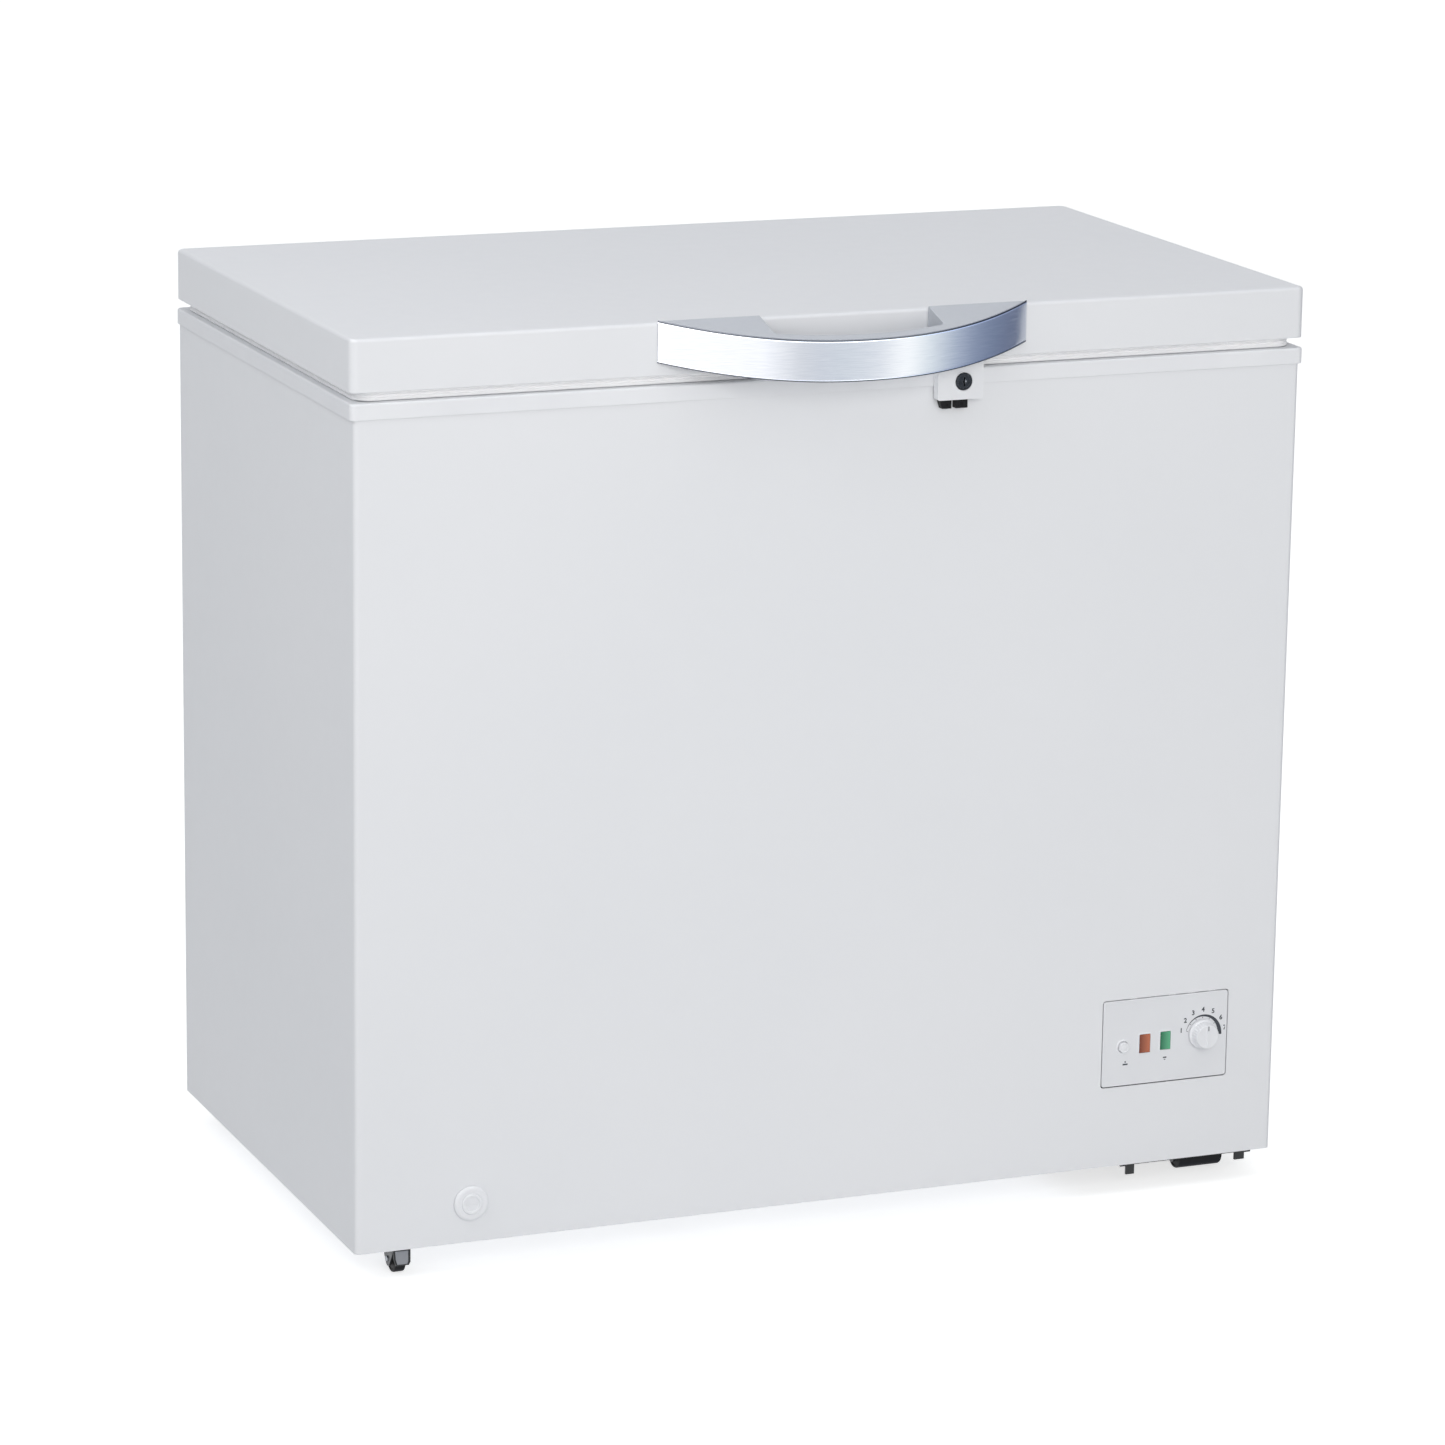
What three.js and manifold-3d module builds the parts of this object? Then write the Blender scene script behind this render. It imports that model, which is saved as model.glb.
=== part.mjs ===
// Chest freezer, 200-litre class: foam-filled cabinet with a raised step over the
// compressor, a hinged foam-filled lid with a bow handle and key lock, a control
// panel low on the right of the front, a drain at the lower left, and four rollers.
// Millimetres, +X right, +Y back, +Z up, floor at z = 0.
import * as THREE from 'three';
import { mergeVertices } from 'three/addons/utils/BufferGeometryUtils.js';
import Module from 'manifold-3d';

const wasm = await Module();
wasm.setup();

// ---------- driving dimensions ----------
const Y_CENTRE = 15.0;          // moves the cabinet so the overall box is centred on Y
const G = 0.35;                 // assembly gap between touching pieces

const LID_HX = 465.0;           // lid half width
const LID_YF = -261.5;          // lid front face
const LID_YB = 261.0;           // lid rear face
const LID_Z0 = 817.4;           // lid lower edge
const LID_Z1 = 865.0;           // lid top
const LID_T = 1.2;

const BODY_HX = 461.65;         // cabinet half width
const BODY_YF = -260.7;
const BODY_YB = 261.0;
const BODY_Z0 = 29.4;
const SHELL_T = 1.2;
const SHELL_Z1 = 805.7;

const RIM_HX = 465.0;           // plastic rim round the mouth
const RIM_YF = -262.2;
const RIM_YB = 262.2;
const RIM_Z0 = 793.4;
const RIM_Z1 = 808.2;

const CAV_HX = 403.0;           // storage cavity half sizes, to the liner's inner face
const CAV_HY = 203.0;
const CAV_Z0 = 91.5;
const STEP_X = 206.0;           // step over the compressor compartment
const STEP_Z = 313.0;
const LINER_T = 1.5;
const CAV_R = 26.0;             // cavity corner radius

const COMP_X = 255.5;           // compressor compartment
const COMP_Z = 263.5;

const HINGE_X = 270.0;          // hinge positions and axis
const HINGE_Y = 277.1;
const HINGE_Z = 812.0;
const HINGE_R = 13.0;

const BOW_HX = 180.0;           // bow handle
const BOW_Y = -263.2;
const BOW_OUT = 56.9;
const BOW_POW = 2.18;
const BOW_DROP = 16.4;
const BOW_TOP = 866.9;
const BOW_H = 37.8;

const WHEEL_R = 13.0;           // roller radius, measured to the flat of the polygon

// ---------- helpers ----------
const clean = (geo) => {
  const g = geo.index ? geo.clone() : geo.clone();
  for (const k of Object.keys(g.attributes)) if (k !== 'position') g.deleteAttribute(k);
  return mergeVertices(g, 1e-4);
};
const solid = (geo) => {
  const g = clean(geo);
  return new wasm.Manifold(new wasm.Mesh({
    numProp: 3,
    vertProperties: new Float32Array(g.attributes.position.array),
    triVerts: new Uint32Array(g.index.array),
  }));
};
const fromSolid = (m) => {
  const me = m.getMesh();
  const g = new THREE.BufferGeometry();
  g.setAttribute('position', new THREE.BufferAttribute(new Float32Array(me.vertProperties), 3));
  g.setIndex(new THREE.BufferAttribute(new Uint32Array(me.triVerts), 1));
  return g;
};
const join = (...gs) => fromSolid(gs.map(solid).reduce((a, b) => a.add(b)));
const cut = (base, ...gs) => fromSolid(gs.map(solid).reduce((a, b) => a.subtract(b), solid(base)));

const box = (x0, x1, y0, y1, z0, z1) =>
  new THREE.BoxGeometry(x1 - x0, y1 - y0, z1 - z0).translate((x0 + x1) / 2, (y0 + y1) / 2, (z0 + z1) / 2);

const rrect = (x0, x1, y0, y1, r, seg) => {
  const pts = [];
  const corner = (cx, cy, a0) => {
    for (let i = 0; i <= seg; i++) {
      const a = a0 + (Math.PI / 2) * (i / seg);
      pts.push(new THREE.Vector2(cx + r * Math.cos(a), cy + r * Math.sin(a)));
    }
  };
  corner(x1 - r, y1 - r, 0);
  corner(x0 + r, y1 - r, Math.PI / 2);
  corner(x0 + r, y0 + r, Math.PI);
  corner(x1 - r, y0 + r, Math.PI * 1.5);
  return pts;
};
const prismZ = (pts, z0, z1, bevel = 0) => {
  const s = new THREE.Shape(pts);
  const o = bevel
    ? { depth: z1 - z0 - 2 * bevel, bevelEnabled: true, bevelThickness: bevel, bevelSize: bevel, bevelOffset: -bevel, bevelSegments: 2 }
    : { depth: z1 - z0, bevelEnabled: false };
  return new THREE.ExtrudeGeometry(s, o).translate(0, 0, z0 + bevel);
};
const rbox = (x0, x1, y0, y1, z0, z1, r, seg = 3) => prismZ(rrect(x0, x1, y0, y1, r, seg), z0, z1);
const v2 = (a) => a.map(([x, y]) => new THREE.Vector2(x, y));
const basis = (ex, ey, ez) => new THREE.Matrix4().makeBasis(new THREE.Vector3(...ex), new THREE.Vector3(...ey), new THREE.Vector3(...ez));
const prismX = (yz, x0, x1) =>
  new THREE.ExtrudeGeometry(new THREE.Shape(v2(yz)), { depth: x1 - x0, bevelEnabled: false })
    .applyMatrix4(basis([0, 1, 0], [0, 0, 1], [1, 0, 0])).translate(x0, 0, 0);
const prismY = (xz, y0, y1) =>
  new THREE.ExtrudeGeometry(new THREE.Shape(v2(xz)), { depth: y1 - y0, bevelEnabled: false })
    .applyMatrix4(basis([1, 0, 0], [0, 0, 1], [0, -1, 0])).translate(0, y1, 0);
const cylY = (x, z, y0, y1, r, seg = 16, turn = 0) =>
  new THREE.CylinderGeometry(r, r, y1 - y0, seg).rotateY(turn).translate(x, (y0 + y1) / 2, z);
const cylZ = (x, y, z0, z1, r, seg = 16) =>
  new THREE.CylinderGeometry(r, r, z1 - z0, seg).rotateX(Math.PI / 2).translate(x, y, (z0 + z1) / 2);
const cylX = (y, z, x0, x1, r, seg = 16, turn = 0) =>
  new THREE.CylinderGeometry(r, r, x1 - x0, seg).rotateY(turn).rotateZ(Math.PI / 2).translate((x0 + x1) / 2, y, z);
// closed turned piece: [radius, height] pairs from axis to axis
const turned = (rz, seg = 16) => new THREE.LatheGeometry(v2(rz), seg).rotateX(Math.PI / 2);

class Route extends THREE.Curve {
  constructor(p) { super(); this.p = p; }
  getPoint(t, o = new THREE.Vector3()) {
    const n = this.p.length - 1, s = Math.min(Math.max(t, 0), 1) * n, i = Math.min(Math.floor(s + 1e-9), n - 1);
    return o.lerpVectors(this.p[i], this.p[i + 1], s - i);
  }
  getPointAt(u, o) { return this.getPoint(u, o); }
  getTangent(t, o = new THREE.Vector3()) {
    const n = this.p.length - 1, i = Math.round(t * n), q = this.p;
    const a = new THREE.Vector3(), b = new THREE.Vector3();
    if (i > 0) a.subVectors(q[i], q[i - 1]).normalize();
    if (i < n) b.subVectors(q[i + 1], q[i]).normalize();
    return o.copy(a.add(b)).normalize();
  }
  getTangentAt(u, o) { return this.getTangent(u, o); }
}
// straight runs joined by rounded bends
const bends = (pts, r, seg = 3) => {
  const p = pts.map((q) => new THREE.Vector3(...q)), out = [p[0]];
  for (let i = 1; i < p.length - 1; i++) {
    const d1 = new THREE.Vector3().subVectors(p[i - 1], p[i]), d2 = new THREE.Vector3().subVectors(p[i + 1], p[i]);
    const k = Math.min(r, d1.length() * 0.49, d2.length() * 0.49);
    const a = p[i].clone().addScaledVector(d1.normalize(), k), b = p[i].clone().addScaledVector(d2.normalize(), k);
    for (let j = 0; j <= seg; j++) {
      const t = j / seg;
      out.push(new THREE.Vector3()
        .addScaledVector(a, (1 - t) * (1 - t)).addScaledVector(p[i], 2 * t * (1 - t)).addScaledVector(b, t * t));
    }
  }
  out.push(p[p.length - 1]);
  return out;
};
const tube = (points, r, sides = 6) => {
  const sec = [];
  for (let i = 0; i < sides; i++) sec.push(new THREE.Vector2(r * Math.cos((i / sides) * 2 * Math.PI), r * Math.sin((i / sides) * 2 * Math.PI)));
  return new THREE.ExtrudeGeometry(new THREE.Shape(sec), { steps: points.length - 1, bevelEnabled: false, extrudePath: new Route(points) });
};

// ---------- scene graph ----------
const freezer = new THREE.Group();
freezer.position.y = Y_CENTRE;
const cabinet = new THREE.Group();
const lid = new THREE.Group();
const fittings = new THREE.Group();
freezer.add(cabinet, lid, fittings);

const paint = (c, rough, metal) => new THREE.MeshStandardMaterial({ color: c, roughness: rough, metalness: metal });
const WHITE_STEEL = paint(0xe4e5ea, 0.38, 0.0);
const WHITE_PLASTIC = paint(0xe6e7ea, 0.45, 0.0);
const LINER = paint(0xd7dadd, 0.35, 0.2);
const FOAM = paint(0xe8dba8, 0.9, 0.0);
const GREY_PLASTIC = paint(0xb4b7bf, 0.5, 0.0);
const CHROME = paint(0xc9ccd3, 0.22, 1.0);
const ZINC = paint(0x9a9da3, 0.45, 0.9);
const BLACK_PLASTIC = paint(0x1b1c1f, 0.5, 0.0);
const BLACK_PAINT = paint(0x17181a, 0.35, 0.2);
const RUBBER = paint(0x222325, 0.8, 0.0);
const COPPER = paint(0xb0704c, 0.35, 1.0);
const GASKET = paint(0xeeeff1, 0.6, 0.0);

const put = (group, name, geo, material) => {
  const m = new THREE.Mesh(geo, material);
  m.name = name;
  geo.computeVertexNormals();
  group.add(m);
  return m;
};

// ---------- cabinet skins ----------
{
  // front and both sides are one folded sheet, rounded at the two front corners
  const t = SHELL_T, hx = BODY_HX, yf = BODY_YF, yb = BODY_YB - 1.8, R = 5, seg = 3;
  const pts = [];
  const arc = (cx, cy, r, a0, a1) => {
    for (let i = 0; i <= seg; i++) { const a = a0 + ((a1 - a0) * i) / seg; pts.push([cx + r * Math.cos(a), cy + r * Math.sin(a)]); }
  };
  pts.push([-hx, yb]);
  arc(-hx + R, yf + R, R, Math.PI, 1.5 * Math.PI);
  arc(hx - R, yf + R, R, 1.5 * Math.PI, 2 * Math.PI);
  pts.push([hx, yb], [hx - t, yb]);
  arc(hx - R, yf + R, R - t, 2 * Math.PI, 1.5 * Math.PI);
  arc(-hx + R, yf + R, R - t, 1.5 * Math.PI, Math.PI);
  pts.push([-hx + t, yb]);
  put(cabinet, 'outer_shell', cut(
    prismZ(v2(pts), BODY_Z0, SHELL_Z1),
    box(279.5, 411.0, -270, -250, 108.4, 193.4),          // control panel opening
    cylY(-351.5, 66.7, -270, -250, 11, 16),                // drain outlet
    box(450, 470, -150, 150, 80, 220),                     // side vent
  ), WHITE_STEEL);
}
put(cabinet, 'rear_panel', cut(
  box(-BODY_HX, BODY_HX, BODY_YB - 1.5, BODY_YB, BODY_Z0, SHELL_Z1),
  box(272, 452, 250, 270, 48, 248),                        // service opening
), WHITE_STEEL);
put(cabinet, 'bottom_panel', prismZ(v2([[-456, -259.0], [254.5, -259.0], [254.5, 259.0], [-460.0, 259.0], [-460.0, -255]]), BODY_Z0, BODY_Z0 + 1.5), ZINC);
put(cabinet, 'top_rim_frame', cut(
  rbox(-RIM_HX, RIM_HX, RIM_YF, RIM_YB, RIM_Z0, RIM_Z1, 6),
  rbox(-CAV_HX + 0.5, CAV_HX - 0.5, -CAV_HY + 0.5, CAV_HY - 0.5, RIM_Z0 - 5, RIM_Z1 + 5, CAV_R),
  rbox(-BODY_HX - G, BODY_HX + G, BODY_YF - G, BODY_YB + G, RIM_Z0 - 5, RIM_Z1 - 2.2, 4.5),
  box(-BODY_HX - G, BODY_HX + G, 200, BODY_YB + G, RIM_Z0 - 5, RIM_Z1 - 2.2),
), WHITE_PLASTIC);

// ---------- liner and foam ----------
const linerOuter = (grow) => cut(
  rbox(-CAV_HX - LINER_T - grow, CAV_HX + LINER_T + grow, -CAV_HY - LINER_T - grow, CAV_HY + LINER_T + grow,
    CAV_Z0 - LINER_T - grow, grow ? 900 : SHELL_Z1, CAV_R + LINER_T + grow),
  box(STEP_X + LINER_T + grow, 500, -300, 300, 0, STEP_Z - LINER_T - grow),
);
const linerInner = cut(
  rbox(-CAV_HX, CAV_HX, -CAV_HY, CAV_HY, CAV_Z0, 950, CAV_R),
  box(STEP_X, 500, -300, 300, 0, STEP_Z),
);
const DRAIN_X = -351.5, DRAIN_Y = -165, DRAIN_Z = 66.7;
put(cabinet, 'inner_liner', cut(linerOuter(0), linerInner, cylZ(DRAIN_X, DRAIN_Y, 80, 100, 9.5, 12)), LINER);

// evaporator: one tube wound round the liner, 5 turns, with both ends down in the compartment
const EV_HX = CAV_HX + LINER_T + 5.0, EV_HY = CAV_HY + LINER_T + 5.0;
const EV_Z = [345, 450, 555, 660, 765];
const evPts = [[300, EV_HY, 236]];
EV_Z.forEach((z, i) => {
  evPts.push([300, EV_HY, z], [-EV_HX, EV_HY, z], [-EV_HX, -EV_HY, z], [EV_HX, -EV_HY, z], [EV_HX, EV_HY, z]);
  if (i < EV_Z.length - 1) evPts.push([345, EV_HY, z]);
});
// the first point of each later turn is reached by a slanting riser from the turn below
evPts.push([352, EV_HY, 765], [352, EV_HY + 13, 765], [352, EV_HY + 13, 150], [352, 132.5, 150]);
put(cabinet, 'evaporator_coil', tube(bends(evPts, 24, 2), 4.0, 6), ZINC);

// condenser: one tube pressed against the inside of the sheet, four runs high
const CO_X = BODY_HX - SHELL_T - 0.5 - 2.4, CO_Y = BODY_YF + SHELL_T + 0.5 + 2.4;
const CO_Z = [330, 430, 530, 630];
const coPts = [
  [372, 132.6, 122], [372, 190, 122], [CO_X, 210, 200], [CO_X, 210, CO_Z[0]], [CO_X, CO_Y, CO_Z[0]],
  [-CO_X, CO_Y, CO_Z[0]], [-CO_X, 210, CO_Z[0]], [-CO_X, 210, CO_Z[1]], [-CO_X, CO_Y, CO_Z[1]],
  [CO_X, CO_Y, CO_Z[1]], [CO_X, 180, CO_Z[1]], [CO_X, 180, CO_Z[2]], [CO_X, CO_Y, CO_Z[2]],
  [-CO_X, CO_Y, CO_Z[2]], [-CO_X, 210, CO_Z[2]], [-CO_X, 210, CO_Z[3]], [-CO_X, CO_Y, CO_Z[3]],
  [CO_X, CO_Y, CO_Z[3]], [CO_X, 238, CO_Z[3]], [CO_X, 238, 236], [430, 236, 228], [430, 236, 206.6],
];
put(cabinet, 'condenser_coil', tube(bends(coPts, 12, 2), 2.4, 6), COPPER);

{
  const cuts = [linerOuter(0.4), box(COMP_X - 0.5, 500, -300, 300, 0, COMP_Z + 0.5)];
  const ring = (hx, hy, d, z, h) => cut(
    rbox(-hx - d, hx + d, -hy - d, hy + d, z - h, z + h, 22, 2), rbox(-hx + 8, hx - 8, -hy + 8, hy - 8, z - h - 1, z + h + 1, 16, 2));
  for (const z of EV_Z) cuts.push(ring(EV_HX, EV_HY, 4.8, z, 4.8));
  cuts.push(box(270, 380, EV_HY - 6, EV_HY + 5, 262, 775));
  cuts.push(box(344, 360, EV_HY - 6, EV_HY + 19, 262, 775));
  for (const z of CO_Z) cuts.push(
    box(-470, 470, -270, CO_Y + 3.1, z - 3.1, z + 3.1),
    box(-470, -CO_X + 3.1, -270, 214, z - 3.1, z + 3.1), box(CO_X - 3.1, 470, -270, 242, z - 3.1, z + 3.1));
  cuts.push(box(-470, -CO_X + 3.1, 190, 214, CO_Z[0], CO_Z[1]), box(-470, -CO_X + 3.1, 190, 214, CO_Z[2], CO_Z[3]));
  cuts.push(box(CO_X - 3.1, 470, 160, 184, CO_Z[1], CO_Z[2]), box(CO_X - 3.1, 470, 192, 215, 200, CO_Z[0]), box(CO_X - 3.1, 470, 228, 242, 200, CO_Z[3]));
  // inside the corners the tubes bend, so the channels are eased there
  for (const z of CO_Z) cuts.push(box(-CO_X - 2, -CO_X + 11, CO_Y - 2, CO_Y + 11, z - 3.1, z + 3.1), box(CO_X - 11, CO_X + 2, CO_Y - 2, CO_Y + 11, z - 3.1, z + 3.1));
  cuts.push(box(DRAIN_X - 10.5, DRAIN_X + 10.5, -270, DRAIN_Y + 10.5, DRAIN_Z - 10.5, DRAIN_Z + 10.5), cylZ(DRAIN_X, DRAIN_Y, 60, 100, 10.5, 12));
  put(cabinet, 'cabinet_foam', cut(box(-460.1, 460.1, -259.1, 259.1, BODY_Z0 + 1.9, SHELL_Z1 - 0.4),
    box(-470, -456, -270, -255, 0, 900), box(456, 470, -270, -255, 0, 900), ...cuts), FOAM);
}

// ---------- compressor compartment ----------
put(cabinet, 'compartment_liner', cut(
  prismY([[COMP_X, 31.9], [COMP_X + 1.5, 31.9], [COMP_X + 1.5, COMP_Z - 1.5], [459.8, COMP_Z - 1.5], [459.8, COMP_Z], [COMP_X, COMP_Z]], -258.8, 258.8),
  box(292, 308, EV_HY - 8, EV_HY + 8, 255, 270), box(344, 360, EV_HY + 5, EV_HY + 21, 255, 270),
  box(450, 470, 203, 217, 255, 270), box(450, 470, 230, 246, 255, 270), box(455, 470, -270, -254, 255, 270),
), ZINC);
put(cabinet, 'compressor_base_plate', prismZ(v2([[255.2, -258.8], [456, -258.8], [460.0, -254.8], [460.0, 258.8], [255.2, 258.8]]), BODY_Z0, BODY_Z0 + 2.0), BLACK_PAINT);
const CX = 358, CY = 50;
put(cabinet, 'compressor', join(
  turned([[0, 50], [52, 50], [64, 58], [70, 72], [70, 160], [62, 182], [42, 199], [20, 205], [0, 206]], 20).translate(CX, CY, 0),
  box(CX - 86, CX + 86, CY - 62, CY + 62, 46.6, 51.5),
), BLACK_PAINT);
[['front_left', -1, -1], ['front_right', 1, -1], ['rear_left', -1, 1], ['rear_right', 1, 1]].forEach(([n, sx, sy]) =>
  put(cabinet, 'rubber_mount_' + n, turned([[0, 31.8], [13, 31.8], [13, 35], [9, 38], [9, 41], [12, 44], [12, 46.2], [0, 46.2]], 8)
    .translate(CX + sx * 72, CY + sy * 48, 0), RUBBER));
put(cabinet, 'relay_cover', cut(
  box(CX - 26, CX + 26, CY - 104, CY - 70.6, 88, 150),
  box(CX - 23.5, CX + 23.5, CY - 101.5, CY - 60, 90.5, 147.5)), BLACK_PLASTIC);
put(cabinet, 'filter_drier', turned([[0, 96], [3, 96], [3, 102], [8.5, 110], [8.5, 190], [3, 199], [3, 206], [0, 206]], 12).translate(430, 236, 0), COPPER);
put(cabinet, 'capillary_tube', tube(bends([[430, 236, 95.4], [430, 236, 70], [300, 236, 70], [300, EV_HY, 90], [300, EV_HY, 235.4]], 14, 2), 1.3, 5), COPPER);

// side vent, rear service cover and mains-lead gland
{
  const slots = [];
  for (let i = 0; i < 9; i++) slots.push(box(455, 470, -140, -4, 90 + i * 14, 96 + i * 14), box(455, 470, 4, 140, 90 + i * 14, 96 + i * 14));
  put(cabinet, 'side_vent_grille', cut(box(BODY_HX + G, 464.4, -160, 160, 70, 230), ...slots), WHITE_PLASTIC);
}
{
  const slots = [];
  for (let i = 0; i < 8; i++) slots.push(box(292, 432, 255, 270, 120 + i * 15, 126 + i * 15));
  put(cabinet, 'rear_service_cover', cut(box(262, 458, BODY_YB + G, BODY_YB + 2.4, 38, 256), cylY(310, 75, 255, 270, 8.4, 14), ...slots), ZINC);
}
put(cabinet, 'mains_cord_gland', cut(
  join(cylY(310, 75, 258.2, 268, 8.0, 14), cylY(310, 75, BODY_YB + 2.4 + G, 267, 12, 14)),
  cylY(310, 75, 240, 300, 4.2, 14)), BLACK_PLASTIC);

// ---------- control panel ----------
const KNOB_X = 384.0, KNOB_Z = 152.3, BTN_X = 301.4, BTN_Z = 147.0;
put(cabinet, 'control_panel', cut(
  rbox(280, 410.5, 108.9, 192.9, -1, 2, 2.5, 2).applyMatrix4(basis([1, 0, 0], [0, 0, 1], [0, -1, 0])).translate(0, BODY_YF + 1.0, 0),
  box(318.2, 329.8, -270, -250, 139.1, 157.7), box(340.1, 351.1, -270, -250, 140.1, 158.2),
  cylY(BTN_X, BTN_Z, -270, -250, 5.6, 16), cylY(KNOB_X, KNOB_Z, -270, -250, 3.6, 12)), WHITE_PLASTIC);
put(cabinet, 'orange_lens', box(318.6, 329.4, BODY_YF - 1.5, BODY_YF + 2.4, 139.5, 157.3), paint(0xc86a3c, 0.25, 0.0));
put(cabinet, 'green_lens', box(340.5, 350.7, BODY_YF - 1.5, BODY_YF + 2.4, 140.5, 157.8), paint(0x2f9a68, 0.25, 0.0));
put(cabinet, 'thermostat_body', cut(box(362, 406, -255.5, -222, 130, 176), cylY(KNOB_X, KNOB_Z, -260, -247, 3.6, 12)), ZINC);
put(fittings, 'thermostat_knob', join(
  turned([[0, 0], [14.2, 0], [14.2, 3], [13.2, 11.5], [12.2, 13], [0, 13]], 24).applyMatrix4(basis([1, 0, 0], [0, 0, 1], [0, -1, 0])).translate(KNOB_X, BODY_YF - 1.6, KNOB_Z),
  box(KNOB_X - 1.1, KNOB_X + 1.1, BODY_YF - 15.4, BODY_YF - 14, KNOB_Z, KNOB_Z + 11.5),
  cylY(KNOB_X, KNOB_Z, BODY_YF - 3.0, -249, 3.0, 12)), WHITE_PLASTIC);
put(fittings, 'fast_freeze_button', cylY(BTN_X, BTN_Z, BODY_YF - 4.6, BODY_YF + 3.6, 5.2, 16), WHITE_PLASTIC);

// ---------- drain ----------
put(cabinet, 'drain_tube', (() => {
  const ring = (r) => { const a = []; for (let i = 0; i < 10; i++) a.push(new THREE.Vector2(r * Math.cos((i / 5) * Math.PI), r * Math.sin((i / 5) * Math.PI))); return a; };
  const s = new THREE.Shape(ring(9)); s.holes.push(new THREE.Path(ring(7.2)));
  const p = bends([[DRAIN_X, DRAIN_Y, 91.2], [DRAIN_X, DRAIN_Y, DRAIN_Z], [DRAIN_X, BODY_YF + 0.2, DRAIN_Z]], 12, 4);
  return new THREE.ExtrudeGeometry(s, { steps: p.length - 1, bevelEnabled: false, extrudePath: new Route(p) });
})(), GREY_PLASTIC);
put(fittings, 'drain_cap', join(
  turned([[0, 0], [16.5, 0], [16.5, 1.6], [14.2, 3.4], [0, 3.4]], 24).applyMatrix4(basis([1, 0, 0], [0, 0, 1], [0, -1, 0])).translate(DRAIN_X, BODY_YF - G, DRAIN_Z),
  cylY(DRAIN_X, DRAIN_Z, BODY_YF - 4.9, BODY_YF - 3, 9.5, 20),
  cylY(DRAIN_X, DRAIN_Z, BODY_YF - 1, BODY_YF + 14, 6.7, 12)), WHITE_PLASTIC);
put(fittings, 'drain_plug', turned([[0, 80], [6.6, 80], [6.6, 92.0], [13, 92.0], [13, 94.2], [4, 95.6], [4, 99], [0, 99]], 14).translate(DRAIN_X, DRAIN_Y, 0), RUBBER);

// ---------- lock keeper on the cabinet ----------
put(cabinet, 'lock_keeper', join(
  box(92, 120.5, -264.0, BODY_YF - G, 772.8, 781.8),
  box(92, 105, -268.6, -263.9, 772.8, 781.8), box(107.2, 120.5, -268.6, -263.9, 772.8, 781.8),
  box(92, 94.6, -268.6, -264.6, 781.0, 806.6), box(94.0, 102.0, -268.6, -264.6, 803.0, 806.6)), BLACK_PLASTIC);

// ---------- hinges ----------
for (const [side, hx] of [['left', -HINGE_X], ['right', HINGE_X]]) {
  const arc = (a0, a1, n, r) => { const o = []; for (let i = 0; i <= n; i++) { const a = ((a0 + ((a1 - a0) * i) / n) * Math.PI) / 180; o.push([HINGE_Y + r * Math.cos(a), HINGE_Z + r * Math.sin(a)]); } return o; };
  const ear = [[262.6, 742], [262.6, 789], ...arc(180, 0, 8, HINGE_R), [HINGE_Y + HINGE_R, 795], [266, 742]];
  ear.splice(2, 0, [264.1, 790]);
  put(cabinet, 'hinge_base_' + side, cut(join(
    box(hx - 30, hx + 30, BODY_YB + G, 263.4, 700, 790),
    prismX(ear, hx - 26, hx - 23), prismX(ear, hx + 23, hx + 26)),
    cylX(HINGE_Y, HINGE_Z, hx - 30, hx + 30, 4.35, 12)), ZINC);
  put(cabinet, 'hinge_pin_' + side, join(
    cylX(HINGE_Y, HINGE_Z, hx - 28, hx + 28, 4.0, 12), cylX(HINGE_Y, HINGE_Z, hx - 28, hx - 26.4, 6.5, 12), cylX(HINGE_Y, HINGE_Z, hx + 26.4, hx + 28, 6.5, 12)), ZINC);
  const coil = [];
  for (let i = 0; i <= 40; i++) { const a = (i / 8) * 2 * Math.PI; coil.push(new THREE.Vector3(hx + 2.6 + (i / 40) * 18.2, HINGE_Y + 6.6 * Math.cos(a), HINGE_Z + 6.6 * Math.sin(a))); }
  put(cabinet, 'hinge_spring_' + side, tube(coil, 1.1, 4), ZINC);
  const web = [[262.2, 822], [262.2, 840], [HINGE_Y + 3, HINGE_Z + 8.4], ...arc(70, -110, 6, 8.9), [HINGE_Y - 8.9, HINGE_Z + 2]];
  put(lid, 'hinge_arm_' + side, cut(join(
    box(hx - 30, hx + 30, LID_YB + G, 263.2, 822, 858), prismX(web, hx - 22, hx + 0.5)),
    cylX(HINGE_Y, HINGE_Z, hx - 30, hx + 10, 4.35, 12)), ZINC);
}

// ---------- lid ----------
put(lid, 'lid_outer_cap', cut(
  prismZ(rrect(-LID_HX, LID_HX, LID_YF, LID_YB, 8, 3), LID_Z0 - 10, LID_Z1, 2.5),
  box(-500, 500, -300, 300, LID_Z0 - 20, LID_Z0),
  rbox(-LID_HX + LID_T, LID_HX - LID_T, LID_YF + LID_T, LID_YB - LID_T, LID_Z0 - 20, LID_Z1 - LID_T - 0.6, 6.8)), WHITE_STEEL);
const PAN_HX = 385, PAN_HY = 184, PAN_Z = 799.5;
put(lid, 'lid_inner_liner', cut(
  join(rbox(-463.2, 463.2, LID_YF + 1.8, LID_YB - 1.8, LID_Z0 + 0.2, LID_Z0 + 2.0, 6),
    rbox(-PAN_HX, PAN_HX, -PAN_HY, PAN_HY, PAN_Z, LID_Z0 + 2.0, 22)),
  rbox(-PAN_HX + 1.8, PAN_HX - 1.8, -PAN_HY + 1.8, PAN_HY - 1.8, PAN_Z + 1.8, LID_Z0 + 5, 20.2)), WHITE_PLASTIC);
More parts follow.
